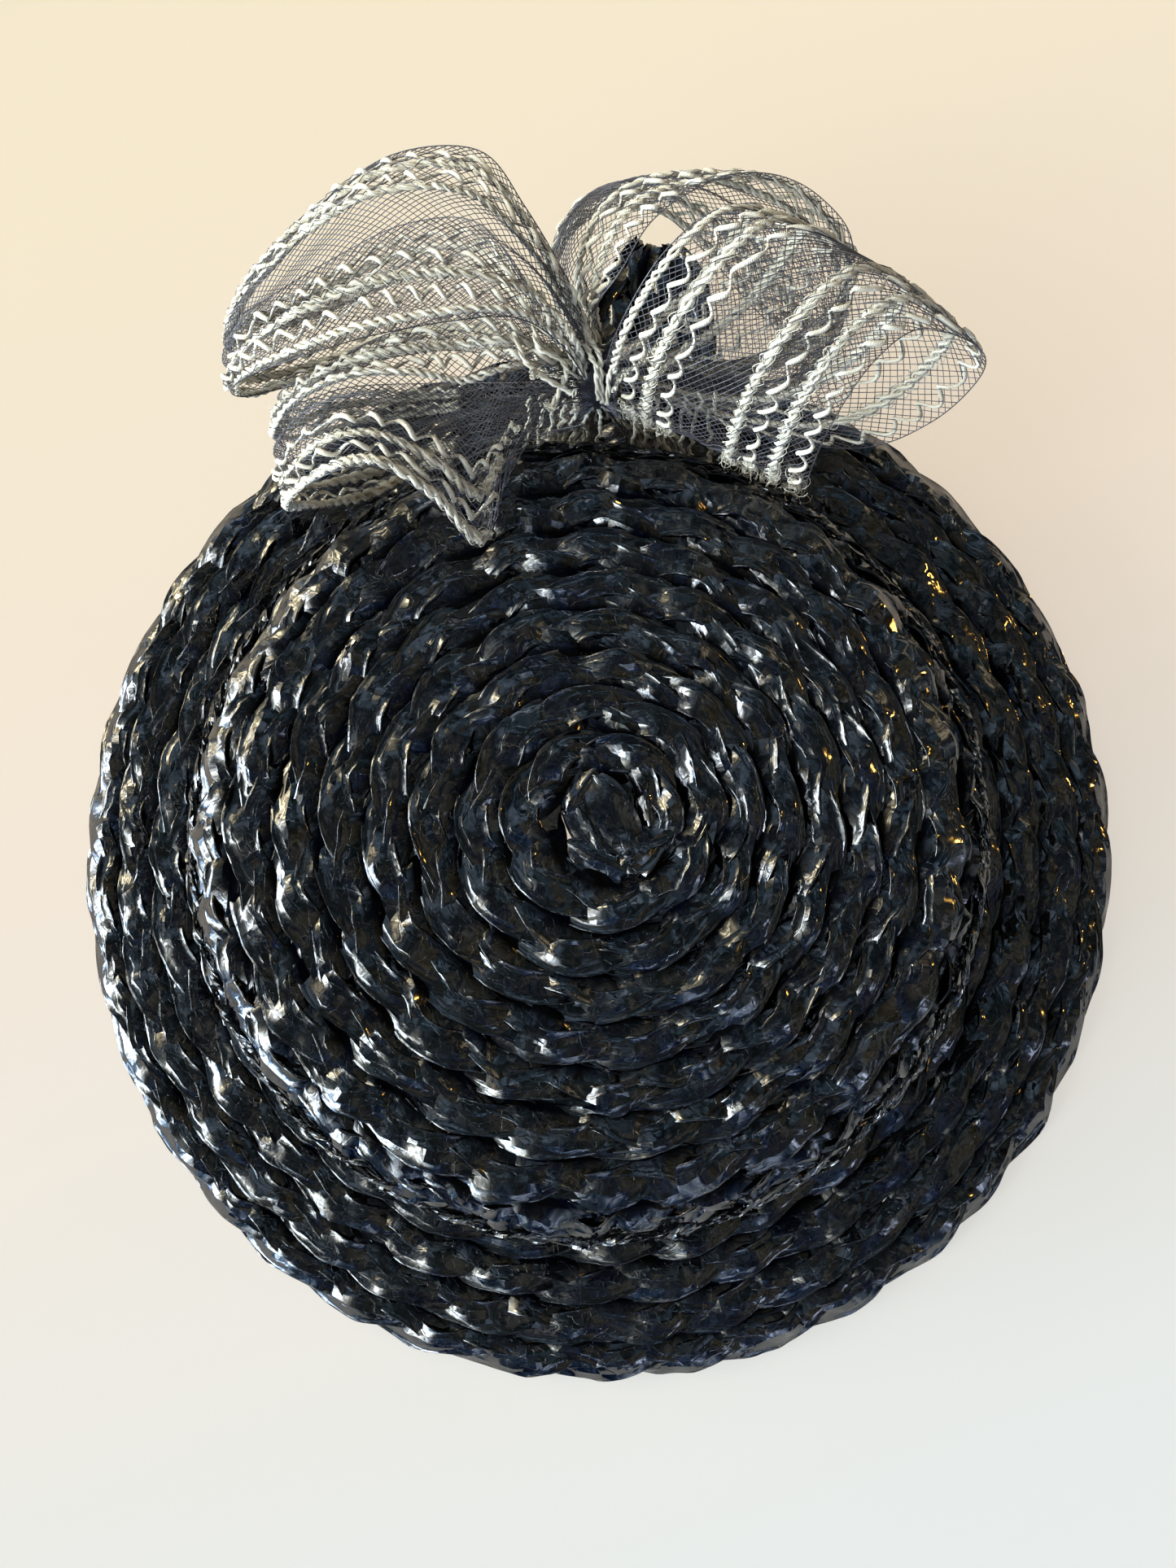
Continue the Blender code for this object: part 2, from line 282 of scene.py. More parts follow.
def strand_section(along, seed, rough):
    """Flattened crumpled tape: offsets across and up of each point of each ring, and uv."""
    wide = Wander(seed)
    field, fine, jitter = Crumple(seed + 1), Crumple(seed + 2), Crumple(seed + 4)
    rolled = Wander(seed + 3)
    half = 0.5 * STRAND_WIDTH * (1 + 0.16 * wide(along / 9.0) + 0.08 * wide(along / 3.1 + 77))
    across = TOP_ACROSS
    top = 1 - np.abs(across) ** 2.4
    thick = STRAND_THICK * (1 + 0.35 * wide(along / 7.0 + 33))[:, None]
    place = along[:, None]
    sway = 0.16 * (1 - across ** 2) * jitter(place / 2.3, across * 2.0 + 20)
    x_top = (across[None, :] + sway) * half[:, None]
    crumple = 0.62 * field(place / 4.2, across * 1.2 + 10)
    crumple = crumple + 0.20 * fine(place / 1.9, across * 2.4 + 20)
    edge = np.abs(across) ** 3 * rolled(place / 5.0 + 31 * np.sign(across))
    lip = TOP_LIP * (0.62 + 0.55 * rolled(place / 3.3 + 400 + 57 * np.sign(across)))
    y_top = 0.62 * thick * top + 0.30 * edge
    y_top = y_top + rough * (crumple * (0.45 + 0.55 * top) + lip)
    under = np.linspace(1, -1, UNDER_POINTS + 2)[1:-1]
    x_under = under[None, :] * half[:, None] * 0.96
    y_under = np.broadcast_to(-0.32 * STRAND_THICK * (1 - under ** 2), x_under.shape)
    x = np.concatenate((x_top, x_under), 1)
    y = np.concatenate((y_top, y_under), 1)
    return x, y, strip_uv(along, x.shape[1], seed % 17)


def turns_run(travel, lobe):
    """Turns of the plait's weave run so far. Three lobes of one strand make a turn."""
    lobe = np.broadcast_to(lobe, travel.shape)
    return run_up(np.diff(travel) / (3 * lobe[1:]))


def plait(shell, surface, centre, angle, travel, lobe, phase, seed, lift, drop=0.0, rough=1.0,
          tilt=ROW_TILT):
    """One plait of three strands along a row.

    centre, angle and travel are arrays along the row: the row's middle as a distance on the
    surface, its angle, and the length run so far. lobe is the length of one edge scallop.
    lift raises the row, tilt raises its outer side, drop bends that side's edge down, and
    rough tells how deeply the strands are crumpled.
    """
    turns = turns_run(travel, lobe)
    for k in range(3):
        tag = seed + 101 * k
        wobble = Wander(tag + 7)
        beat = TURN * (turns + k / 3 + phase) + 0.22 * wobble(travel / 11.0)
        swing = PLAIT_SWING * (1 + 0.10 * wobble(travel / 13.0 + 50))
        across = swing * np.cos(beat)
        rise = PLAIT_LIFT * np.sin(2 * beat) + 0.12 * wobble(travel / 6.0 + 90)
        roll = -0.20 * np.cos(beat) + 0.16 * wobble(travel / 7.0 + 140)
        x, y, uv = strand_section(travel + 400 * k, tag, rough)
        # The tape turns with its path, so that its width lies square to it
        slant = np.gradient(across) / np.maximum(np.gradient(travel), 1e-6)
        square = 1 / np.sqrt(1 + slant ** 2)
        side = across[:, None] + x * (square * np.cos(roll))[:, None] - y * np.sin(roll)[:, None]
        ahead = -x * (slant * square)[:, None]
        up = (rise + lift)[:, None] + y * np.cos(roll)[:, None] + x * np.sin(roll)[:, None]
        out = (side + PLAIT_REACH) / (2 * PLAIT_REACH)
        up = up + tilt * out - drop * np.clip(side / PLAIT_REACH, 0, 1) ** 2
        pace = np.gradient(angle) / np.maximum(np.gradient(travel), 1e-6)
        grid = surface(centre[:, None] + side, angle[:, None] + ahead * pace[:, None], up)
        # Painted shade: out runs from 0 at the row's low inner side to 1 at its raised outer side, and
        # as reach it makes the straw dark where the row runs under the edge of the row inside it
        shell.add(grid, uv, round_columns=LIP_COLUMNS, reach=out)


def backing(shell, surface, centre, angle, travel, lift, tilt=ROW_TILT):
    """Flat straw under a row: a wedge that closes the holes between its strands and carries
    its raised outer side down to the next row."""
    keep = np.unique(np.append(np.arange(0, len(travel), 3), len(travel) - 1))
    half = PLAIT_SWING + 0.28 * STRAND_WIDTH
    sides = np.array((-half, 0.0, half - 0.9, half, 0.0, -half))
    highs = np.array((0.12, 0.12 + 0.5 * tilt, 0.06 + 0.86 * tilt, -0.15, -0.15, -0.15))
    grid = surface(centre[keep][:, None] + sides, angle[keep][:, None] + 0 * sides, lift + highs)
    # Painted shade: the wedge's outer wall and underside get a reach of 0, so the straw's material
    # turns their specular level down and shows them dark
    reach = np.broadcast_to((1.0, 1.0, 0.5, 0.0, 0.0, 0.0), grid.shape[:2])
    shell.add(grid, strip_uv(travel[keep], len(sides)), reach=reach)


def crown_track():
    """The spiral of the crown: middle of the row, angle and travel, from the centre out. It
    ends with one level turn at the crown's foot."""
    last = CROWN_FLAT + CROWN_ARC + CROWN_WALL - 0.5 * ROW_PITCH + 0.4
    middles, angles, travels = [2.6], [0.0], [0.0]
    level = 0.0
    while level < TURN:
        radius = max(middles[-1], 2.5) if middles[-1] < CROWN_FLAT else CROWN_TOP_R
        turn = min(CROWN_STEP / radius, 0.22)
        middles.append(min(middles[-1] + ROW_PITCH * turn / TURN, last))
        angles.append(angles[-1] + turn)
        travels.append(travels[-1] + turn * radius)
        if middles[-1] >= last:
            level += turn
    return np.array(middles), np.array(angles), np.array(travels)


def make_crown(straw):
    """The crown's spiral, as one mesh for its top and one for its wall."""
    middle, angle, travel = crown_track()
    lobe = PLAIT_LOBE * np.clip(0.5 + 0.5 * middle / 28.0, 0.5, 1.0)
    turns = turns_run(travel, lobe)
    top = np.flatnonzero((middle > CENTRE_HOLE) & (middle <= CROWN_SPLIT))
    wall = np.flatnonzero(middle > CROWN_SPLIT)
    made = []
    for name, ids in (("crown_top_plait", top), ("crown_wall_plait", np.append(top[-1], wall))):
        shell = Shell()
        row = middle[ids], angle[ids] + CROWN_START, travel[ids]
        plait(shell, crown_surface, *row, lobe[ids], turns[ids[0]], 11, CROWN_LIFT)
        backing(shell, crown_surface, *row, CROWN_LIFT)
        made.append(shell.build(name, straw))
    return made


def make_brim(straw):
    """Closed rows round the crown. The last one has the scallops and bends to the table."""
    shell = Shell()
    width = (BRIM_R - BRIM_ROWS_FROM) / BRIM_ROWS
    for row in range(BRIM_ROWS):
        last = row == BRIM_ROWS - 1
        radius = BRIM_ROWS_FROM + width * (row + 1) - PLAIT_REACH + 0.7
        length = TURN * radius
        lobes = SCALLOPS if last else round(length / PLAIT_LOBE)
        count = int(length / BRIM_STEP) + 1
        angle = np.linspace(0, TURN, count) + math.pi / 2
        travel = np.linspace(0, length, count)
        path = np.full(count, radius), angle, travel
        lift = EDGE_ROW_LIFT if last else BRIM_LIFT
        plait(shell, brim_surface, *path, length / lobes, (0.25 * lobes + 0.5) / 3, 211 + 17 * row,
              lift, EDGE_ROW_DROP if last else 0.0, BRIM_ROUGH, BRIM_ROW_TILT)
        backing(shell, brim_surface, *path, lift, 0.5 if last else ROW_TILT)
    return shell.build("brim_plait", straw)


# Ribbon of the bow


RIBBON_WIDTH = 50.0
RIBBON_ROWS = 261
RIBBON_COLUMNS = 73
PLEAT_DEPTH = 1.5

# Sections of each ribbon, in millimetres round the crown's axis, along the ribbon from the
# knot. Columns: left edge x, y, z, right edge x, y, z, and how far the middle bulges out.
LEFT_FAR_LOOP = (
    (0, 87, 54, 0, 96, 56, 0.0),
    (-4, 91, 63, -2, 101, 61, 2.0),
    (-12, 93, 70, -11, 117, 65, 3.0),
    (-24, 91, 73, -20, 130, 64, 5.0),
    (-38, 88.5, 73, -37, 131, 62, 6.0),
    (-50, 86.5, 70, -51, 123, 60, 5.0),
    (-62, 86, 63, -63, 113, 55, 4.0),
    (-70, 87, 52, -71, 106, 47, 2.0),
    (-69.5, 90, 41, -70, 112, 38, 2.0),
    (-57, 97, 34, -57, 123, 34, 3.0),
    (-39, 103, 33, -39, 132, 34, 3.0),
    (-22, 102, 35, -22, 130, 36, 3.0),
    (-8, 95, 40, -9, 109, 41, 1.0),
    (0, 89, 43, 0, 97, 46, 0.0),
)
LEFT_NEAR_LOOP = (
    (0, 85, 49, 0, 93, 52, 0.0),
    (-7, 82, 53, -5, 93, 58, 1.0),
    (-15.5, 69, 50, -13, 96, 64, 2.0),
    (-20, 55, 50, -24, 97, 64, 3.0),
    (-28, 61, 60, -35, 94, 63, 4.0),
    (-38, 66, 66, -45, 90, 61, 4.0),
    (-48, 65, 64, -53, 87, 58, 4.0),
    (-57, 63, 54, -61, 85.5, 52, 1.0),
    (-58, 66, 40, -60, 88, 42, 3.0),
    (-48, 71, 31, -50, 96, 32, 3.0),
    (-34, 80, 26, -33, 98, 28, 3.0),
    (-17, 84, 29, -16, 96, 33, 2.0),
    (0, 84, 39, 0, 93, 40, 0.0),
)
RIGHT_FRONT_LOOP = (
    (4.5, 89, 42, 46, 71, 34, 0.0),
    (4.0, 88, 51, 45, 70, 48, 2.0),
    (7.0, 93, 64, 48, 75, 65, 5.0),
    (14.5, 101, 75, 54, 82, 74, 6.0),
    (23.5, 108, 79, 62, 87, 76, 5.0),
    (31, 111.5, 75, 73, 86.5, 70, 3.0),
    (30, 117, 64, 77, 86, 58, 3.0),
    (23, 111, 54, 70, 82, 44, 3.0),
    (15, 104, 50, 56, 80, 35, 2.0),
    (10, 98, 49, 32, 84, 36, 1.0),
    (6, 96, 50, 6.5, 91, 45, 0.0),
)
RIGHT_BACK_LOOP = (
    (1.5, 98, 42, 3.5, 97.5, 51, 0.0),
    (1, 103, 38, 3, 98.5, 60, 1.0),
    (-6.5, 117, 35, 8.0, 103, 68, 6.0),
    (-1.5, 130, 35, 14, 112, 70, 7.0),
    (13, 132, 37, 24, 119, 69, 4.0),
    (24, 125, 34, 35, 124.5, 64, 3.0),
    (34, 115, 30, 46, 123, 58, 4.0),
    (44, 105, 27, 54, 116, 49, 4.0),
    (43, 97, 25, 49, 107, 40, 3.0),
    (28, 93.5, 27, 31, 99, 37, 1.0),
    (6.5, 95, 37.5, 6.5, 97, 43, 0.0),
)
LEFT_GATHER = (
    (-0.5, 91.0, 36.8, 2.7, 91.0, 37.0, 0.0),
    (-8.0, 89.0, 25.0, 1.5, 90.0, 26.0, 0.5),
    (-14.0, 86.5, 15.0, 0.5, 88.5, 15.0, 0.5),
    (-17.0, 85.0, 6.5, 0.0, 88.0, 6.5, 0.5),
)
RIGHT_GATHER = (
    (3.6, 91.0, 37.0, 7.5, 90.5, 36.8, 0.0),
    (6.0, 90.0, 26.0, 15.0, 88.0, 26.0, 0.5),
    (8.0, 88.5, 15.0, 22.0, 85.5, 15.0, 0.5),
    (9.0, 88.0, 6.5, 26.0, 83.5, 6.5, 0.5),
)
STRAW_TAB = (
    (1, 98, 6.9, 27, 96, 6.9, 0.0),
    (-1, 114, 5.4, 28, 112, 5.4, 0.0),
    (4, 131, 5.8, 27, 129, 5.8, 0.5),
    (10, 140, 9.8, 20, 139, 9.8, 1.0),
    (4, 131, 14.0, 26, 129, 14.0, 1.5),
    (-1, 114, 15.8, 28, 111, 15.8, 2.0),
    (3, 101, 15.2, 25, 99, 15.2, 1.0),
)
KNOT_CENTRE = np.array((3.0, 91.0, 47.0))
KNOT_HALF = np.array((2.6, 5.8, 9.5))


def catmull_rom(table, part):
    """Rows of a table read at parts from 0 to 1 of its length, on a smooth curve."""
    last = len(table) - 1
    place = part * last
    index = np.minimum(place.astype(int), last - 1)
    f = (place - index)[:, None]
    p0, p1 = table[np.maximum(index - 1, 0)], table[index]
    p2, p3 = table[index + 1], table[np.minimum(index + 2, last)]
    return 0.5 * (2 * p1 + (p2 - p0) * f + (2 * p0 - 5 * p1 + 4 * p2 - p3) * f ** 2
                  + (3 * p1 - p0 - 3 * p2 + p3) * f ** 3)


class Ribbon:
    """Flat strip laid on the smooth surface of a table, pleated where the table is narrow."""

    def __init__(self, rows, width=RIBBON_WIDTH, pleats=6, depth=PLEAT_DEPTH, seed=0):
        self.width = width
        self.last = len(rows) - 1
        part = np.linspace(0, 1, RIBBON_ROWS)
        lines = catmull_rom(np.array(rows, float), part)
        left, right, bulge = lines[:, 0:3], lines[:, 3:6], lines[:, 6]
        outward = unit(np.cross(right - left, np.gradient(left + right, axis=0)))
        across = np.linspace(0, 1, RIBBON_COLUMNS)
        arch = 4 * across * (1 - across)
        grid = left[:, None] * (1 - across)[:, None] + right[:, None] * across[:, None]
        grid = grid + outward[:, None] * (bulge[:, None] * arch)[..., None]
        self.distance = run_up(steps_of(grid).mean(axis=1))
        self.length = self.distance[-1]
        spare = np.clip(1 - steps_of(grid, 1).sum(axis=1) / width, 0, 1)
        sway = Wander(seed + 900)
        beat = pleats * across[None, :] + 0.35 * sway(self.distance / 16.0)[:, None]
        beat = beat + 0.25 * sway(across[None, :] * 5 + self.distance[:, None] / 30.0 + 60)
        fold = np.cos(TURN * beat) * (depth * spare ** 0.85)[:, None]
        grid = grid + self.normals(grid) * fold[..., None]
        self.grid = grid
        self.up = self.normals(grid)

    def at_row(self, row):
        """Distance along at a row of the table."""
        return np.interp(row / self.last, np.linspace(0, 1, RIBBON_ROWS), self.distance)

    @staticmethod
    def normals(grid):
        return unit(np.cross(np.gradient(grid, axis=1), np.gradient(grid, axis=0)))

    def point(self, along, across, height):
        """Point at a distance along, a distance across and a height over the ribbon."""
        along, across, height = np.broadcast_arrays(along, across, height)
        row = np.interp(along, self.distance, np.arange(RIBBON_ROWS))
        column = np.clip(across / self.width, 0, 1) * (RIBBON_COLUMNS - 1)
        i = np.minimum(row.astype(int), RIBBON_ROWS - 2)
        j = np.minimum(column.astype(int), RIBBON_COLUMNS - 2)
        f, g = (row - i)[..., None], (column - j)[..., None]
        place, normal = [
            (kept[i, j] * (1 - f) + kept[i + 1, j] * f) * (1 - g)
            + (kept[i, j + 1] * (1 - f) + kept[i + 1, j + 1] * f) * g
            for kept in (self.grid, self.up)]
        normal = unit(normal)
        return place + normal * height[..., None], normal


def tube(shell, path, normal, radius, sides, tag):
    """Round strand along a path. tag is a whole number that tells it from its neighbours."""
    tangent = unit(np.gradient(path, axis=0))
    side = unit(np.cross(tangent, normal))
    up = np.cross(side, tangent)
    turn = TURN * np.arange(sides) / sides
    radius = np.broadcast_to(radius, (len(path),))[:, None, None]
    spokes = up[:, None] * np.cos(turn)[:, None] - side[:, None] * np.sin(turn)[:, None]
    shell.add(path[:, None] + radius * spokes, strip_uv(run_up(steps_of(path)), sides, tag))


# Net of the ribbon: two families of slanting filaments between its edges


FILAMENT_ANGLE = math.radians(42.0)
FILAMENT_R = 0.095
FILAMENT_RUNS = 62
FILAMENT_STEP = 1.55
NET_GAP = 0.08
SELVEDGE_R = 0.13
SELVEDGE_STEP = 1.4
LINE_RISE = {"rope": 0.75, "zigzag": 0.62, "fuzzy": 0.95, "broad": 1.0}


def make_net(name, ribbon, material, seed, lines=()):
    """Net of a ribbon as one joined mesh. Every third filament passes over the yarn lines."""
    shell = Shell()
    slope = 1 / math.tan(FILAMENT_ANGLE)
    reach = ribbon.width * slope
    spacing = 2 * reach / FILAMENT_RUNS
    shear = Wander(seed)
    stray = Wander(seed + 1)
    tag = 0
    for way in (1, -1):
        first = -reach if way == 1 else 0.0
        for k in range(int((ribbon.length + reach) / spacing)):
            start = first + (k + 0.5) * spacing
            limits = np.sort(np.array((0.0, ribbon.length)) - start) / (way * slope)
            low, high = max(0.0, limits.min()), min(ribbon.width, limits.max())
            if high - low < FILAMENT_STEP:
                continue
            across = np.linspace(low, high, max(3, round((high - low) / FILAMENT_STEP) + 1))
            along = start + way * slope * across
            drift = shear(along / 9.0 + across / 11.0) + shear(along / 13.0 - across / 8.0 + 300)
            drift = 0.45 * drift + 0.14 * stray(across / 4.0 + 37.0 * tag)
            along = np.clip(along + drift, 0, ribbon.length)
            height = np.full(len(across), way * NET_GAP)
            if tag % 3 == 0:
                for line, kind in lines:
                    height = height + LINE_RISE[kind] * np.exp(-((across - line) / 1.3) ** 2)
            tag += 1
            tube(shell, *ribbon.point(along, across, height), FILAMENT_R, 3, tag)
    along = np.linspace(0, ribbon.length, max(8, round(ribbon.length / SELVEDGE_STEP)))
    for across in (0.06, ribbon.width - 0.06):
        tag += 1
        tube(shell, *ribbon.point(along, across, 0.0), SELVEDGE_R, 3, tag)
    return shell.build(name, material, sharp_angle=None)


# Yarns woven into the net


def yarn_lines(kinds, *places):
    """Yarns of a loop: distance from the ribbon's left edge, and kind. Every other one is a
    zigzag, and the ones between have the kinds given."""
    kinds = [each for kind in kinds.split() for each in (kind, "zigzag")]
    return tuple(zip(places, kinds))


FAR_LINES = yarn_lines("rope fuzzy fuzzy fuzzy", 2.2, 6.2, 10.4, 14.4, 32.6, 36.6, 40.6, 44.6)
NEAR_LINES = yarn_lines("broad broad rope fuzzy", 2.0, 6.8, 11.6, 16.6, 35.6, 39.4, 43.2, 47.0)
FRONT_LINES = yarn_lines("rope fuzzy fuzzy fuzzy", 2.0, 6.6, 11.0, 15.8, 31.6, 36.4, 41.8, 47.0)
BACK_LINES = yarn_lines("rope fuzzy rope fuzzy", 2.2, 6.0, 9.8, 13.6, 35.6, 39.4, 43.2, 47.0)
ZIGZAG_PERIOD = 5.9
ZIGZAG_SWING = 1.3
ZIGZAG_R = 0.43
ZIGZAG_SKEW = 0.30
ROPE_PERIOD = 5.0
FUZZY_CORE_R = 0.46
FIBRES = 4
GATHER_YARNS = 13
LOOSE_FIBRES = 34
LOOSE_FIBRE_R = 0.05
# Rope and fuzzy yarn: step along, swing of a ply, radius and sides of a fibre, how far it
# strays sideways, its height over the net, and how far it strays up and down
ROPE_LOOKS = (0.7, 0.58, 0.43, 5, 0.16, 0.12, 0.08)
FUZZY_LOOKS = (0.85, 0.84, 0.125, 3, 0.38, 0.24, 0.28)


def zigzag_yarn(shell, ribbon, across, seed, start, stop):
    """Soft thick yarn in uneven steps: a long leg up to one side, a short leg back."""
    wobble = Wander(seed)
    along = np.arange(start, stop, 0.62)
    beat = TURN * (along / ZIGZAG_PERIOD + 0.30 * wobble(along / 8.0) + 0.37 * seed)
    beat = beat + (ZIGZAG_SKEW + 0.25 * wobble(along / 6.0 + 170)) * np.cos(beat)
    wave = np.arcsin(0.95 * np.sin(beat)) / math.asin(0.95)
    over = np.tanh(2.5 * np.cos(beat))
    side = across + ZIGZAG_SWING * wave * (1 + 0.3 * wobble(along / 5.0 + 50))
    height = 0.17 + 0.42 * over + 0.08 * wobble(along / 2.0 + 90)
    radius = ZIGZAG_R * (1 + 0.26 * over + 0.18 * wobble(along / 1.7 + 130))
    tube(shell, *ribbon.point(along, side, height), radius, 5, seed)


def rope_yarn(shell, ribbon, across, seed, fibres, start, stop, broad=1.0):
    """Two plies twisted round each other, each one smooth yarn or several loose fibres."""
    step, swing, thick, sides, stray, low, loose = ROPE_LOOKS if fibres == 1 else FUZZY_LOOKS
    along = np.arange(start, stop, step)
    swing = broad * swing
    twist = Wander(seed)
    for ply in (0, 1):
        beat = TURN * (along / ROPE_PERIOD + 0.5 * ply + 0.30 * twist(along / 9.0))
        if fibres > 1:
            side = across + 0.8 * swing * (np.sin(beat) + 0.12 * twist(along / 2.0 + 300))
            height = 0.14 + 0.3 * np.cos(beat)
            radius = broad * FUZZY_CORE_R * (1 + 0.2 * twist(along / 1.5 + 200))
            tube(shell, *ribbon.point(along, side, height), radius, 4, seed + ply)
        for fibre in range(fibres):
            tag = seed + 10 * ply + fibre
            own = Wander(tag + 40)
            apart = (fibre - 0.5 * (fibres - 1)) * 0.50 * broad
            side = across + swing * np.sin(beat) + apart + stray * own(along / 1.6)
            height = low + 0.34 * np.cos(beat) + loose * own(along / 1.9 + 60)
            radius = thick * (1 + 0.15 * own(along / 2.3 + 120))
            tube(shell, *ribbon.point(along, side, height), radius, sides, tag)


def fuzz(shell, ribbon, across, seed):
    """Loose fibres that stand off a yarn in small arcs."""
    rng = np.random.default_rng(seed)
    for i in range(LOOSE_FIBRES):
        start = rng.uniform(1, ribbon.length - 4)
        part = np.linspace(0, 1, 7)
        reach = rng.uniform(0.8, 2.6)
        bend = rng.uniform(-1.3, 1.3)
        along = np.clip(start + reach * part, 0, ribbon.length)
        side = across + bend * np.sin(math.pi * part) + rng.uniform(-0.5, 0.5)
        height = 0.4 + rng.uniform(0.2, 1.0) * np.sin(math.pi * part)
        tube(shell, *ribbon.point(along, side, height), LOOSE_FIBRE_R, 3, seed + i)


def wavy_yarn(shell, ribbon, across, seed):
    """Yarn of the gathered ribbon, pushed into waves."""
    wobble = Wander(seed)
    along = np.arange(0.2, ribbon.length - 0.2, 0.7)
    side = across + 2.6 * wobble(along / 4.5) + 0.8 * wobble(along / 1.9 + 40)
    height = 0.5 + 0.7 * wobble(along / 3.2 + 80)
    radius = 0.43 * (1 + 0.25 * wobble(along / 2.5 + 120))
    tube(shell, *ribbon.point(along, side, height), radius, 5, seed)


def curl(shell, centre, size, radius, rng, tag):
    """One loose curl of a cut fibre round a centre."""
    turns = rng.uniform(0.7, 1.7)
    part = np.linspace(0, 1, int(9 + 11 * turns))
    axes = np.linalg.qr(rng.normal(size=(3, 3)))[0]
    beat = TURN * (turns * part + rng.uniform(0, 1))
    grow = 0.55 + 0.6 * part * rng.uniform(0.3, 1.0)
    flat = np.stack((grow * np.cos(beat), rng.uniform(0.4, 1.0) * grow * np.sin(beat),
                     rng.uniform(-1.2, 1.2) * (part - 0.5)), -1)
    path = np.asarray(centre, float) + size * flat @ axes.T
    up = np.broadcast_to(axes[:, 2], path.shape)
    tube(shell, path, up, radius, 3, tag)


def tuft(shell, centre, size, count, seed, radius=0.075):
    """Frayed end of a yarn: a nest of curls."""
    rng = np.random.default_rng(seed)
    for i in range(count):
        place = np.asarray(centre) + rng.normal(scale=0.45 * size, size=3)
        reach, thick = size * rng.uniform(0.4, 1.0), radius * rng.uniform(0.8, 1.6)
        curl(shell, place, reach, thick, rng, seed + i)


# Tufts where a yarn starts: how far along, size and number of curls
TUFTS = ((0.0, 1.5, 12), (3.0, 1.4, 9), (6.5, 1.2, 6), (10.0, 1.0, 4))


def make_yarns(name, ribbon, material, seed, lines, starts, stop):
    """Yarns of a ribbon. Each line has its own start along the ribbon."""
    shell = Shell()
    for i, ((across, kind), start) in enumerate(zip(lines, starts)):
        tag = seed + 20 * i
        if kind == "zigzag":
            zigzag_yarn(shell, ribbon, across, tag, start, stop)
        elif kind == "rope":
            rope_yarn(shell, ribbon, across, tag, 1, start, stop)
        else:
            broad = 1.35 if kind == "broad" else 1.0
            rope_yarn(shell, ribbon, across, tag, FIBRES, start, stop, broad)
            fuzz(shell, ribbon, across, tag + 500)
        if start > 1 or name.startswith("right_front"):
            large = 0.55 if start > 1 else 1.5 if across > 30 else 1.0
            for ahead, size, count in TUFTS:
                place = ribbon.point(start + ahead, across, 0.7)[0]
                tuft(shell, place, large * size, count, tag + 700 + int(10 * ahead))
    return shell.build(name, material, sharp_angle=None)


KNOT_FILAMENTS = 130
THREAD_TURNS = 9
THREAD_R = 0.24


def round_knot(across, out, angle):
    """Path round the knot, out times its half size from its middle, and the way outward."""
    path = np.stack((across, out * np.cos(angle), out * np.sin(angle)), -1)
    return KNOT_CENTRE + KNOT_HALF * path, np.stack((0 * angle, np.cos(angle), np.sin(angle)), -1)


def make_knot_body(net):
    """Ribbon bunched into the knot: a pleated core and the filaments that lie along it."""
    shell = Shell()
    along = np.linspace(-1.25, 1.25, 13)[:, None]
    turn = np.linspace(0, TURN, 65)[:-1]
    sway = Wander(71)
    pleat = 0.09 * np.cos(9 * turn + 1.2 * sway(turn * 3) + 0.5 * along)
    size = 0.80 + 0.16 * along ** 2 + pleat
    uv = np.stack(np.broadcast_arrays(along, np.append(turn, TURN)), -1)
    shell.add(round_knot(np.broadcast_to(along, size.shape), size, turn)[0], uv)
    part = np.linspace(-1.45, 1.45, 10)
    for i in range(KNOT_FILAMENTS):
        own = Wander(7000 + i)
        lean = TURN * i / KNOT_FILAMENTS + 0.35 * own(part * 0.8) + 0.10 * own(part * 3 + 30)
        out = 0.88 + 0.16 * part ** 2 + 0.07 * own(part * 1.3 + 60)
        tube(shell, *round_knot(part, out, lean), FILAMENT_R, 3, i)
    return shell.build("knot_ribbon", net, sharp_angle=40)


def make_knot_thread(thread):
    """Black thread wound round the knot."""
    shell = Shell()
    beat = np.linspace(0, TURN * THREAD_TURNS, 40 * THREAD_TURNS)
    sway = Wander(81)
    across = 0.62 * sway(beat / TURN * 0.9) + 0.12 * sway(beat / 2.0 + 50)
    out = 0.95 + 0.05 * sway(beat / 1.5 + 90)
    tube(shell, *round_knot(across, out, beat), THREAD_R, 6, 1)
    return shell.build("knot_thread", thread, sharp_angle=None)


# Yarns that lie round the knot: their angles. Radius and sway of the loose yarns over the
# knot and of those that hang under it
KNOT_YARN_ANGLES = (0.35, 0.8, 1.2, 1.62, 2.1, 3.6, 4.1, 4.6)
LOOSE_YARN = (0.36, 0.35)
HANGING_YARN = (0.27, 0.80)
# Loose yarns of the ribbon over the knot, which end in frayed balls
KNOT_STRANDS = (
    ((-2.5, 101, 61), (0, 98, 61), (1, 94.5, 60), (3, 92, 58.5), (4, 88, 56), (4, 84.5, 50)),
    ((0, 93, 59.5), (2, 90.5, 58.5), (3, 87.5, 56), (3.5, 84.5, 51)),
    ((13, 94.5, 58), (10, 91.5, 59), (7.5, 90, 58.5), (5.5, 87.5, 56), (5, 84, 50)),
    ((15.5, 93.5, 57), (12, 89.5, 57.5), (8, 87.5, 56), (6, 85.5, 53)),
    ((21, 95, 54), (19, 92.5, 53), (17, 91, 53.5), (14.5, 88.5, 52), (13, 87, 52.5),
     (12, 84.5, 50)),
    ((-9, 94.5, 63), (-8, 91, 62.5), (-4, 89.5, 59), (-3, 87, 57.5), (-4, 84.5, 56),
     (-6, 81.5, 55.5)),
    ((-12.5, 93, 64), (-10.5, 88.5, 62), (-8, 86.5, 60), (-4, 85, 57), (-2, 84.5, 55.5)),
)
KNOT_TUFTS = ((-6, 81.5, 55.5), (-2, 84.5, 55.5), (12, 84.5, 50), (8.5, 84.0, 50.5),
              (-9, 86, 60.5))
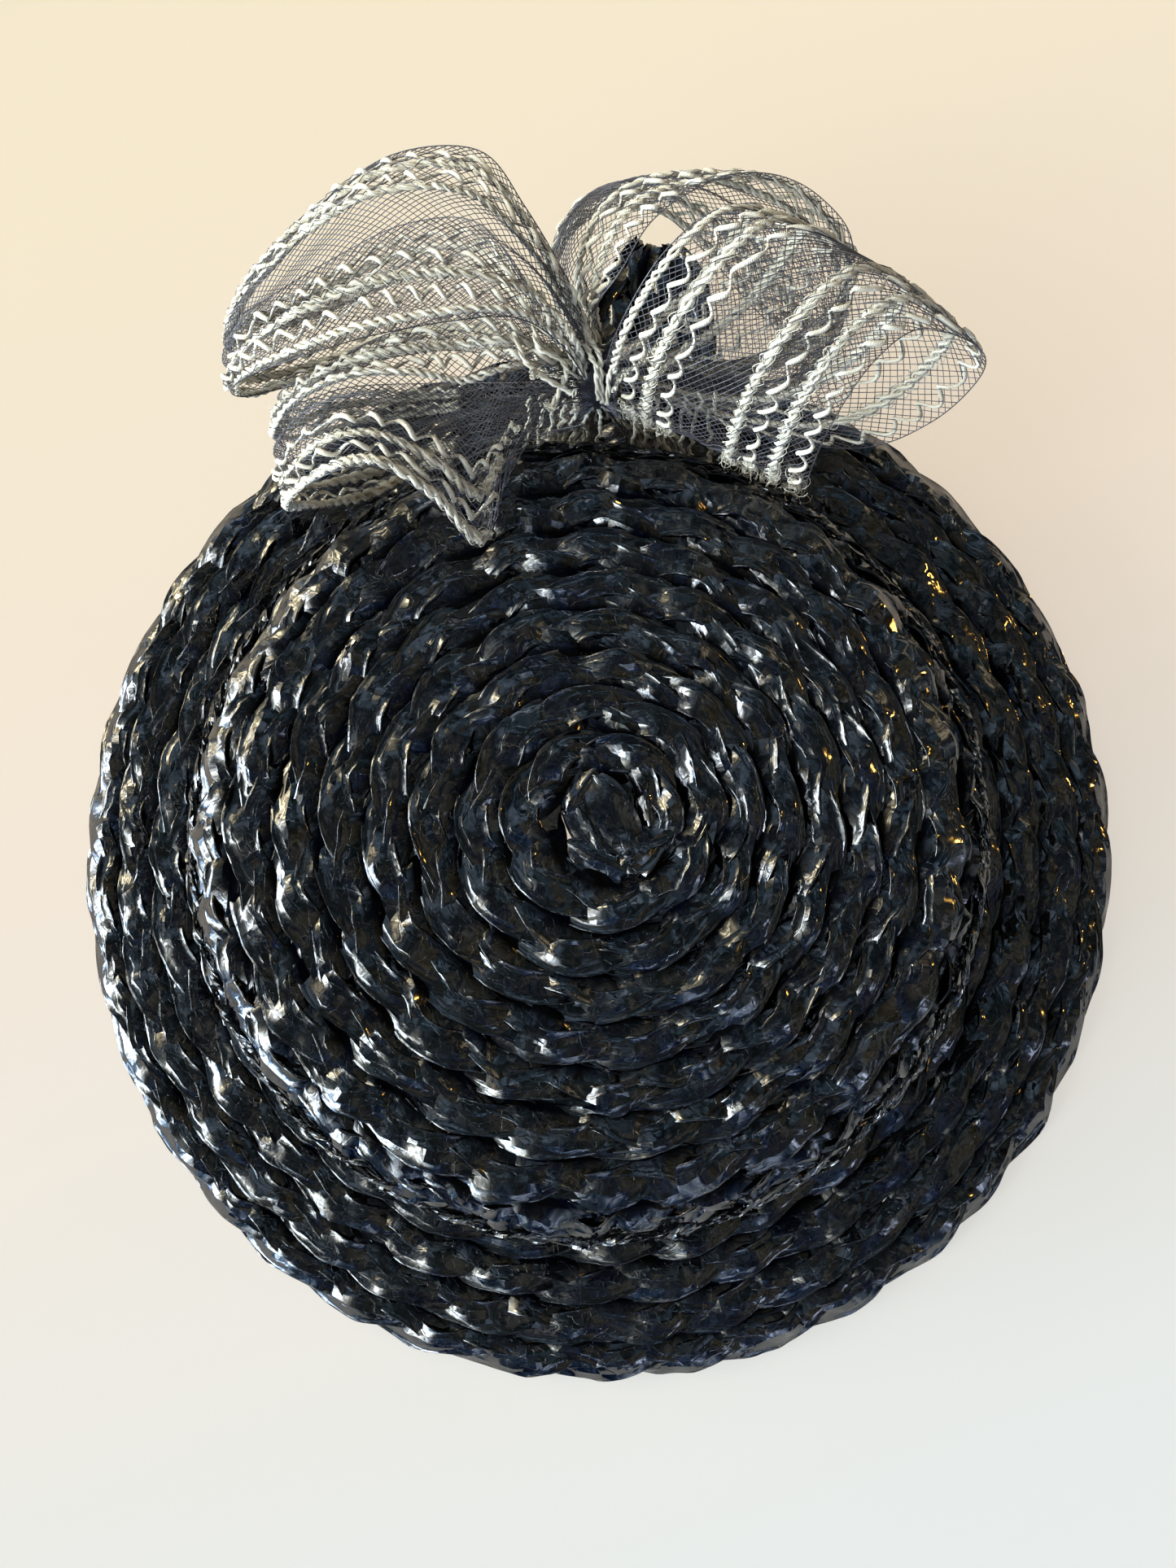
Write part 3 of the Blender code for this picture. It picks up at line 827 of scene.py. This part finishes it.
# Yarns that hang under the knot: how far across at their top and at their foot
HANGING_STRANDS = ((-11.5, -14), (-9, -11.5), (-6.5, -9), (-4.5, -7), (-2, -4.5), (0.5, -1),
                   (3, 1.5), (11, 8), (14, 11), (17, 14), (20.5, 20), (23, 22.5), (26, 26))


def loose_strand(shell, points, radius, sway, seed):
    """Two plies of yarn, twisted round each other through the points of a short table."""
    table = np.array(points, float)
    length = steps_of(table).sum()
    part = np.linspace(0, 1, max(8, int(length / 0.85)))
    travel = part * length
    waves = np.stack([Wander(seed + k)(travel / 2.2) for k in range(3)], -1)
    path = catmull_rom(table, part) + sway * waves * np.array((1.0, 0.8, 0.5))
    tangent = unit(np.gradient(path, axis=0))
    side = unit(np.cross(tangent, (0.3, -0.2, 1.0)))
    up = np.cross(side, tangent)
    for ply in (0, 1):
        beat = (TURN * (travel / 4.2 + 0.5 * ply) + seed)[:, None]
        offset = 0.85 * radius * (np.cos(beat) * side + np.sin(beat) * up)
        swell = 1 + 0.2 * Wander(seed + 3 + ply)(travel / 1.6)
        tube(shell, path + offset, up, radius * swell, 4, seed + ply)


def make_knot_yarns(yarn):
    """Yarns of the ribbon where they run into the knot from both sides."""
    shell = Shell()
    part = np.linspace(-2.3, 2.3, 22)
    for i, lean in enumerate(KNOT_YARN_ANGLES):
        own = Wander(7600 + i)
        angle = lean + 0.22 * own(part * 0.9)
        out = 0.92 + 0.035 * part ** 2 + 0.05 * own(part * 1.5 + 30)
        tube(shell, *round_knot(part, out, angle), 0.34 + 0.05 * own(part), 5, i)
    for i, strand in enumerate(KNOT_STRANDS):
        loose_strand(shell, strand, *LOOSE_YARN, 7700 + 5 * i)
    for i, place in enumerate(KNOT_TUFTS):
        tuft(shell, place, 1.0, 10, 7800 + 20 * i, 0.10)
    for i, (top, foot) in enumerate(HANGING_STRANDS):
        strand = ((top + 0.6, 87.5, 46), (top, 86.0, 42), (0.5 * (top + foot), 84.5, 32),
                  (foot, 84.0, 20), (foot - 0.5, 84.5, 9))
        loose_strand(shell, strand, *HANGING_YARN, 7900 + 5 * i)
    return shell.build("knot_yarns", yarn, sharp_angle=None)


# Straw tab, leaves in the crown's centre, and cord on its shoulder


TAB_WIDTH = 26.0
TAB_ROW_MIDDLES = (4.6, 13.0, 21.4)
TAB_ROW_LIFT = -1.0
TAB_LOBE = 0.8 * PLAIT_LOBE


def make_tab(straw):
    """Folded loop of plaited straw behind the crown."""
    shell = Shell()
    tab = Ribbon(STRAW_TAB, width=TAB_WIDTH, pleats=0, depth=0.0)
    along = np.arange(0.5, tab.length - 0.5, 1.2)

    def surface(across, distance, height):
        return tab.point(distance, across, 0.6 * height)[0]

    for row, middle in enumerate(TAB_ROW_MIDDLES):
        plait(shell, surface, np.full(len(along), middle), along, along, TAB_LOBE, 0.21 * row,
              611 + 13 * row, TAB_ROW_LIFT)
    return shell.build("straw_tab_plait", straw)


# Straw ends folded into the hole at the spiral's centre: middle, height, length, width, the
# way they point in degrees, and how deep their fold is
CENTRE_LEAVES = (
    ((6.0, 2.3), 47.3, 18.0, 8.6, -62, 0.7),
    ((0.6, 7.6), 46.6, 13.0, 5.4, 55, 0.9),
    ((0.6, -0.2), 46.3, 14.0, 6.6, -60, 1.0),
    ((12.6, 3.0), 46.6, 18.0, 5.0, -85, 0.9),
    ((7.4, 13.4), 46.9, 17.0, 5.6, -5, 0.6),
    ((3.0, -6.6), 46.2, 15.0, 6.4, -25, 0.9),
    ((11.4, -5.6), 46.2, 13.0, 5.6, 35, 0.9),
    ((5.0, 2.0), 45.2, 24.0, 16.0, -70, 0.3),
)
LEAF_THICK = 0.4


def make_centre_leaf(straw):
    """Folded ends of the straw that close the hole at the spiral's centre."""
    shell = Shell()
    part = np.linspace(-1, 1, 21)[:, None]
    across = np.linspace(-1, 1, 13)
    for i, (middle, level, length, width, heading, depth) in enumerate(CENTRE_LEAVES):
        rough = Crumple(901 + i)
        bow = Wander(940 + i)
        half = 0.5 * width * np.clip(1 - part ** 2, 0, 1) ** 0.42
        half = half * (1 + 0.12 * bow(part * 2)) + 0.04
        sides = across * half
        fold = depth * np.abs(across - 0.25) ** 1.2
        rolled = 0.35 * np.clip(np.abs(across) - 0.82, 0, None) / 0.18
        crumple = 0.34 * rough(part * length / 7.0 + 40, across * 1.6 + 9)
        high = level - fold + rolled + crumple - 0.9 * part ** 4 + 0 * sides
        ahead = np.broadcast_to(0.5 * length * part, sides.shape)
        top = np.stack((ahead, sides, high), -1)
        low = top[:, ::-1] - np.array((0, 0, LEAF_THICK))
        grid = np.concatenate((top, low), 1)
        spin = np.array(Matrix.Rotation(math.radians(-heading), 3, "Z"))
        uv = strip_uv(part * length / 2, grid.shape[1], 3 * i)
        shell.add(grid @ spin + np.array((*middle, 0.0)), uv)
    return shell.build("centre_leaf", straw)


# Cord of twisted strands round the shoulder: number, turns, distance from the crown's centre,
# height over the crown, and a strand's section
CORD_STRANDS = 4
CORD_TURNS = 30
CORD_DISTANCE = CROWN_FLAT + 0.74 * CROWN_ARC
CORD_HEIGHT = 3.3
CORD_SECTION = np.array(((-1, 0.0), (-0.55, 0.36), (0.1, 0.42), (1, 0.0), (0.3, -0.3), (-0.5, -0.3)))


def make_shoulder(straw):
    """Thin straw strands twisted into a cord round the crown's shoulder."""
    shell = Shell()
    angle = np.linspace(0, TURN, 601)
    travel = angle * CROWN_TOP_R
    for k in range(CORD_STRANDS):
        own = Wander(950 + k, 512)
        rough = Crumple(960 + k)
        beat = TURN * (k / CORD_STRANDS + CORD_TURNS * angle / TURN) + 0.9 * own(travel / 9.0)
        reach = 0.75 + 0.35 * own(travel / 8.0 + 60)
        middle = CORD_DISTANCE + 1.3 * own(travel / 40.0 + 200)
        level = CORD_HEIGHT + 0.5 * own(travel / 30.0 + 260)
        roll = beat + math.pi / 2 + 1.1 * own(travel / 3.5 + 120)
        size = (0.56 + 0.26 * own(travel / 4.0 + 150))[:, None]
        x, y = CORD_SECTION[:, 0] * size, CORD_SECTION[:, 1] * size
        y = y + 0.34 * rough(travel[:, None] / 1.6, CORD_SECTION[:, 0] * 2 + 9)
        turned, raised = np.cos(roll)[:, None], np.sin(roll)[:, None]
        side = (middle + reach * np.cos(beat))[:, None] + x * turned - y * raised
        up = (level + 0.75 * reach * np.sin(beat))[:, None] + x * raised + y * turned
        grid = crown_surface(side, np.broadcast_to(angle[:, None], side.shape), up)
        shell.add(grid, strip_uv(travel, len(CORD_SECTION), k))
    return shell.build("shoulder_strands", straw)


# Materials


class Nodes:
    """Short way to build the node tree of a material or a world."""

    def __init__(self, owner, shader="Principled BSDF"):
        owner.use_nodes = True
        self.owner = owner
        self.tree = owner.node_tree
        self.shader = self.tree.nodes[shader]

    def put(self, socket, value):
        if isinstance(value, bpy.types.NodeSocket):
            self.tree.links.new(value, socket)
        else:
            socket.default_value = value

    def set(self, **values):
        """Inputs of the shader, with _ for each space in their names."""
        for key, value in values.items():
            self.put(self.shader.inputs[key.replace("_", " ")], value)

    def node(self, kind, inputs, **settings):
        made = self.tree.nodes.new("ShaderNode" + kind)
        for key, value in settings.items():
            setattr(made, key, value)
        for key, value in inputs.items():
            self.put(made.inputs[key], value)
        return made

    def math(self, operation, *values):
        return self.node("Math", dict(enumerate(values)), operation=operation).outputs[0]

    def vector(self, operation, *values):
        made = self.node("VectorMath", dict(enumerate(values)), operation=operation)
        return made.outputs["Value" if operation in ("DOT_PRODUCT", "LENGTH") else "Vector"]

    def coord(self, kind="UV"):
        return self.node("TexCoord", {}).outputs[kind]

    def mapped(self, scale, turn=0.0):
        """UV of a strand, scaled along and across, and turned."""
        inputs = {"Vector": self.coord(), "Scale": (*scale, 1.0), "Rotation": (0, 0, turn)}
        return self.node("Mapping", inputs).outputs[0]

    def noise(self, place, scale, detail):
        inputs = {"Vector": place, "Scale": scale, "Detail": detail}
        return self.node("TexNoise", inputs).outputs["Fac"]

    def plies(self, scale, turn, distortion):
        """Bands that slant round a strand, as twisted plies do."""
        inputs = {"Vector": self.mapped(scale, turn), "Scale": 1.0, "Distortion": distortion}
        return self.node("TexWave", inputs).outputs["Fac"]

    def spread(self, value, low, high, least, most, **settings):
        """A value from low to high, stretched to run from least to most."""
        inputs = {"Value": value, "From Min": low, "From Max": high, "To Min": least,
                  "To Max": most}
        return self.node("MapRange", inputs, **settings).outputs["Result"]

    def ramp(self, value, *stops):
        """Colour ramp through stops of a place and a colour."""
        made = self.node("ValToRGB", {"Fac": value})
        elements = made.color_ramp.elements
        elements[0].position, elements[1].position = stops[0][0], stops[-1][0]
        for place, colour in stops[1:-1]:
            elements.new(place)
        for element, (place, colour) in zip(elements, stops):
            element.color = (*colour, 1)
        return made.outputs["Color"]

    def bump(self, height, strength, depth):
        inputs = {"Height": height, "Strength": strength, "Distance": depth * MM}
        return self.node("Bump", inputs).outputs["Normal"]


# Facets of the straw: cells to a centimetre, how narrow they are, and how steeply they lean
FACETS = ((1.3, 2.6, 2.3), (5.0, 2.0, 0.55))
CREASE_WIDTH = 0.03
CREASE_DEPTH = 1.6


def straw_material():
    n = Nodes(bpy.data.materials.new("glossy_black_straw"))
    wrinkle = n.noise(n.mapped((1.3, 4.2)), 1.0, 1.0)
    crease = n.math("MINIMUM", n.math("ABSOLUTE", n.math("SUBTRACT", wrinkle, 0.5)), CREASE_WIDTH)
    height = n.math("MULTIPLY", crease, CREASE_DEPTH)
    # Each cell of a stretched cell pattern is a small tilted plane
    for scale, stretch, depth in FACETS:
        place = n.mapped((scale, scale * stretch))
        cells = n.node("TexVoronoi", {"Vector": place, "Scale": 1.0}, voronoi_dimensions="2D")
        local = n.vector("SUBTRACT", place, cells.outputs["Position"])
        lean = n.vector("SUBTRACT", cells.outputs["Color"], (0.5, 0.5, 0.5))
        height = n.math("MULTIPLY_ADD", n.vector("DOT_PRODUCT", local, lean), depth, height)
    patch = n.noise(n.mapped((1.4, 3.0)), 1.0, 2.0)
    # Painted shade: the specular level drops almost to nothing in the grooves between the rows, where
    # the next row's raised edge shades them
    groove = n.node("SeparateXYZ", {0: n.node("UVMap", {}, uv_map="groove").outputs["UV"]})
    n.set(Base_Color=n.ramp(patch, (0.35, (0.0004, 0.0007, 0.0024)), (0.65, (0.0014, 0.0014, 0.0010))),
          Roughness=n.spread(patch, 0.3, 0.7, 0.06, 0.15), IOR=1.5, Normal=n.bump(height, 1.0, 0.4),
          Specular_IOR_Level=n.spread(groove.outputs["X"], 0.24, 0.46, 0.02, 1.0))
    return n.owner


def net_material():
    n = Nodes(bpy.data.materials.new("horsehair_net"))
    tag = n.node("SeparateXYZ", {0: n.coord()}).outputs["Y"]
    strand = n.node("TexWhiteNoise", {"W": n.math("FLOOR", tag)}, noise_dimensions="1D")
    tint = n.ramp(strand.outputs["Value"], (0.0, (0.028, 0.027, 0.034)), (1.0, (0.145, 0.138, 0.150)))
    n.set(Base_Color=tint, Roughness=0.32, IOR=1.5)
    return n.owner


def thread_material():
    n = Nodes(bpy.data.materials.new("black_thread"))
    plies = n.plies((14.0, 3.0), 0.6, 0.6)
    tint = n.ramp(plies, (0.0, (0.006, 0.006, 0.009)), (1.0, (0.03, 0.03, 0.038)))
    n.set(Base_Color=tint, Roughness=0.5, Normal=n.bump(plies, 0.6, 0.1))
    return n.owner


def yarn_material():
    n = Nodes(bpy.data.materials.new("cream_yarn"))
    patch = n.noise(n.mapped((2.0, 0.13)), 1.0, 2.0)
    tint = n.ramp(patch, (0.3, (0.52, 0.45, 0.32)), (0.7, (0.85, 0.80, 0.65)))
    n.set(Base_Color=tint, Roughness=0.75, Sheen_Weight=0.2,
          Normal=n.bump(n.plies((9.0, 3.0), 0.5, 1.5), 0.5, 0.15))
    return n.owner


def table_material():
    """Pale light table. Painted light: its glow is tinted cool on one side and warm on the other, for
    the cool and the warm light of the room.
    """
    n = Nodes(bpy.data.materials.new("pale_table"))
    spot = n.coord("Object")
    place = n.node("SeparateXYZ", {0: spot}).outputs
    across = n.math("SUBTRACT", n.math("MULTIPLY", place["Y"], 2.6),
                    n.math("MULTIPLY", place["X"], 0.9))
    # Painted light: the tint runs from cool to warm across the table, as the room's light does
    tint = n.ramp(n.math("ADD", across, 0.45), (0.0, (0.80, 0.84, 0.835)),
                  (0.52, (0.93, 0.79, 0.64)), (1.0, (0.95, 0.80, 0.54)))
    # It is lit from within under the hat, and fades further out
    glow = n.spread(n.vector("LENGTH", spot), 0.24, 0.40, 0.745, 0.31)
    grain = n.noise(n.coord("Generated"), 900.0, 4.0)
    n.set(Base_Color=(0.15, 0.14, 0.125, 1.0), Roughness=0.8, Specular_IOR_Level=0.05,
          Emission_Color=tint, Emission_Strength=glow, Normal=n.bump(grain, 0.05, 0.1))
    return n.owner


def wall_material():
    n = Nodes(bpy.data.materials.new("pale_wall"))
    grain = n.noise(n.coord("Generated"), 2.0, 2.0)
    tint = n.ramp(grain, (0.0, (0.50, 0.50, 0.48)), (1.0, (0.56, 0.54, 0.51)))
    n.set(Base_Color=(0.0, 0.0, 0.0, 1.0), Specular_IOR_Level=0.0, Emission_Color=tint,
          Emission_Strength=1.0)
    return n.owner


# Stage


STAGE_SIZE = 1.6


def stage_object(name, points, faces, material):
    mesh = bpy.data.meshes.new(name)
    mesh.from_pydata(points, [], faces)
    mesh.materials.append(material)
    obj = add_object(name, mesh)
    return obj


def make_stage():
    """Table, and a plain pale wall round it that stands for the eye only: light passes it."""
    size = STAGE_SIZE
    stage_object("table", [(-size, -size, 0), (size, -size, 0), (size, size, 0), (-size, size, 0)],
                 [(0, 1, 2, 3)], table_material())
    count = 48
    ring = [(size * math.cos(TURN * i / count), size * math.sin(TURN * i / count))
            for i in range(count)]
    points = [(x, y, z) for z in (-0.01, size) for x, y in ring]
    faces = [(i, (i + 1) % count, count + (i + 1) % count, count + i) for i in range(count)]
    wall = stage_object("backdrop", points, faces, wall_material())
    wall.visible_diffuse = wall.visible_glossy = wall.visible_transmission = False
    wall.visible_shadow = False


# Camera: how far it leans off straight down and to which side, where it looks, and its lens
CAMERA_TILT = math.radians(7.6)
CAMERA_TURN = math.radians(-70.7)
CAMERA_BACK = Vector((math.sin(CAMERA_TILT) * math.cos(CAMERA_TURN),
                      math.sin(CAMERA_TILT) * math.sin(CAMERA_TURN), math.cos(CAMERA_TILT)))
CAMERA_REACH = 325.0
CAMERA_AIM = np.array((-0.8, 14.1, 0.0))
CAMERA_FOCAL_PX = 1750.0
PHOTO_HEIGHT_PX = 1927
SENSOR = 36.0

# Dark and bright patches of the room, over which the facets mirror: place in the noise, colour
PATCHES = ((0.39, (0.003, 0.004, 0.006)), (0.45, (0.08, 0.12, 0.14)), (0.53, (0.24, 0.38, 0.52)),
           (0.60, (0.72, 0.92, 1.20)), (0.70, (2.6, 2.8, 2.9)))
# Darker parts of the room: direction, angle of the dark middle and of its edge, light left
SHADES = ((CAMERA_BACK, 14, 46, 0.16), ((0.95, 0.0, 0.30), 25, 75, 0.25),
          ((0.10, -0.78, 0.60), 18, 55, 0.55))
# Glows in the room: where each is seen, how sharp it is, and its colour
GLOWS = (
    ((-0.80, -0.40, 0.44), 40, (30.0, 34.0, 37.0)),
    ((-0.86, -0.48, 0.22), 20, (2.4, 4.4, 7.4)),
    ((-0.72, -0.30, 0.54), 30, (4.8, 4.2, 2.6)),
    ((-0.93, 0.10, 0.36), 48, (25.0, 26.5, 27.5)),
    ((-0.95, 0.02, 0.18), 24, (2.2, 3.8, 6.0)),
    ((-0.76, 0.46, 0.42), 44, (18.0, 15.6, 10.4)),
    ((-0.55, 0.10, 0.80), 14, (0.30, 0.35, 0.42)),
    ((0.46, -0.20, 0.86), 12, (0.34, 0.27, 0.13)),
    ((-0.10, 0.30, 0.95), 4, (0.015, 0.035, 0.045)),
    ((0.62, -0.62, 0.44), 110, (3.6, 4.2, 5.6)),
    ((0.60, 0.62, 0.46), 60, (1.9, 1.6, 1.1)),
    ((0.05, -0.88, 0.44), 80, (2.4, 3.0, 4.4)),
    ((0.05, -0.80, 0.55), 6, (0.00, 0.05, 0.26)),
)
# Small warm lamp on the right, which makes the orange sparks
LAMP_PLACE = Vector((0.55, 0.12, 0.42))
LAMP_AIM = Vector((0.05, 0.0, 0.03))


def make_room():
    """Light of the room, which the straw mirrors."""
    world = bpy.data.worlds.new("room")
    n = Nodes(world, "Background")
    towards = n.coord("Generated")

    def nearness(direction):
        return n.vector("DOT_PRODUCT", towards, Vector(direction).normalized())

    light = n.ramp(n.noise(towards, 2.6, 2.5), *PATCHES)
    for direction, inner, outer, least in SHADES:
        dim = n.spread(nearness(direction), math.cos(math.radians(outer)),
                       math.cos(math.radians(inner)), 1.0, least, interpolation_type="SMOOTHSTEP")
        light = n.node("VectorMath", {0: light, "Scale": dim}, operation="SCALE").outputs[0]
    # The glows are broken into panes and slips of light
    frames = n.node("TexVoronoi", {"Vector": towards, "Scale": 6.5}, feature="DISTANCE_TO_EDGE")
    panes = n.spread(frames.outputs["Distance"], 0.03, 0.10, 0.05, 1.0)
    slips = n.spread(n.noise(towards, 9.0, 1.5), 0.40, 0.60, 0.30, 1.7)
    open_part = n.math("MULTIPLY", panes, slips)
    for direction, sharpness, colour in GLOWS:
        glow = n.math("POWER", n.math("MAXIMUM", nearness(direction), 0.0), sharpness)
        light = n.vector("MULTIPLY_ADD", n.math("MULTIPLY", glow, open_part), colour, light)
    n.set(Color=light, Strength=1.0)
    bpy.context.scene.world = world


def make_lamp():
    light = bpy.data.lights.new("lamp", "AREA")
    light.shape = "RECTANGLE"
    light.size, light.size_y = 0.02, 0.03
    light.energy = 0.35
    light.color = (1.0, 0.55, 0.12)
    lamp = add_object("lamp", light)
    lamp.location = LAMP_PLACE
    lamp.rotation_euler = (LAMP_AIM - LAMP_PLACE).to_track_quat("-Z", "Y").to_euler()


def make_camera():
    right = (Vector((1, 0, 0)) - CAMERA_BACK * CAMERA_BACK.x).normalized()
    up = CAMERA_BACK.cross(right)
    data = bpy.data.cameras.new("camera")
    data.sensor_width = SENSOR
    data.lens = CAMERA_FOCAL_PX / PHOTO_HEIGHT_PX * SENSOR
    camera = add_object("camera", data)
    place = Vector((CAMERA_AIM + AXIS) * MM) + CAMERA_BACK * (CAMERA_REACH * MM)
    turn = Matrix((right, up, CAMERA_BACK)).transposed().to_4x4()
    camera.matrix_world = Matrix.Translation(place) @ turn
    bpy.context.scene.camera = camera
    bpy.context.scene.view_settings.view_transform = "Standard"


# Assembly


def declare(piece, replaced=None):
    """Hangs a piece on the frame's root body, and hides the solid it stands for if one is given."""
    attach(piece, "root")
    if replaced:
        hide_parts(replaced)


def declare_ribbon(name, piece, yarns):
    """A ribbon's net takes the place of its solid, and its yarns hang on the same body."""
    declare(piece, name)
    declare(yarns)


def make_loop(name, rows, lines, pleats, seed, net, yarn):
    ribbon = Ribbon(rows, pleats=pleats, seed=seed)
    piece = make_net(name + "_net", ribbon, net, seed, lines)
    starts, stop = [0.5] * len(lines), ribbon.length - 0.5
    if name == "left_near_loop":
        # Its front yarns begin at the fold that makes the low tip of the loop
        tip, fold, stop = ribbon.at_row(3.0), ribbon.at_row(2.0), ribbon.at_row(10.3)
        starts = [max(0.5, tip - (tip - fold) * across / 16.0) if across < 20 else 0.5
                  for across, _ in lines]
    yarns = make_yarns(name + "_yarns", ribbon, yarn, seed + 5000, lines, starts, stop)
    declare_ribbon(name, piece, yarns)


def make_gather(name, rows, seed, net, yarn):
    """Gathered ribbon under the knot, with its yarns pushed into waves."""
    ribbon = Ribbon(rows, pleats=7, depth=2.0, seed=seed)
    piece = make_net(name + "_net", ribbon, net, seed)
    shell = Shell()
    for i in range(GATHER_YARNS):
        across = 2.0 + (ribbon.width - 4.0) * i / (GATHER_YARNS - 1)
        wavy_yarn(shell, ribbon, across, seed + 30 + i)
    yarns = shell.build(name + "_yarns", yarn, sharp_angle=None)
    declare_ribbon(name, piece, yarns)


def make_bow():
    net, yarn = net_material(), yarn_material()
    make_loop("left_far_loop", LEFT_FAR_LOOP, FAR_LINES, 5, 1000, net, yarn)
    make_loop("left_near_loop", LEFT_NEAR_LOOP, NEAR_LINES, 6, 1100, net, yarn)
    make_loop("right_front_loop", RIGHT_FRONT_LOOP, FRONT_LINES, 6, 1200, net, yarn)
    make_loop("right_back_loop", RIGHT_BACK_LOOP, BACK_LINES, 5, 1300, net, yarn)
    make_gather("left_gather", LEFT_GATHER, 1500, net, yarn)
    make_gather("right_gather", RIGHT_GATHER, 1600, net, yarn)
    declare(make_knot_body(net))
    declare(make_knot_thread(thread_material()), "bow_knot")
    declare(make_knot_yarns(yarn))


def make_hat():
    straw = straw_material()
    top, wall = make_crown(straw)
    declare(top, "crown")
    declare(wall)
    declare(make_brim(straw), "brim")
    declare(make_tab(straw), "straw_tab")
    declare(make_centre_leaf(straw))
    declare(make_shoulder(straw))


def main():
    make_camera()
    make_stage()
    make_room()
    make_lamp()
    make_bow()
    make_hat()


main()
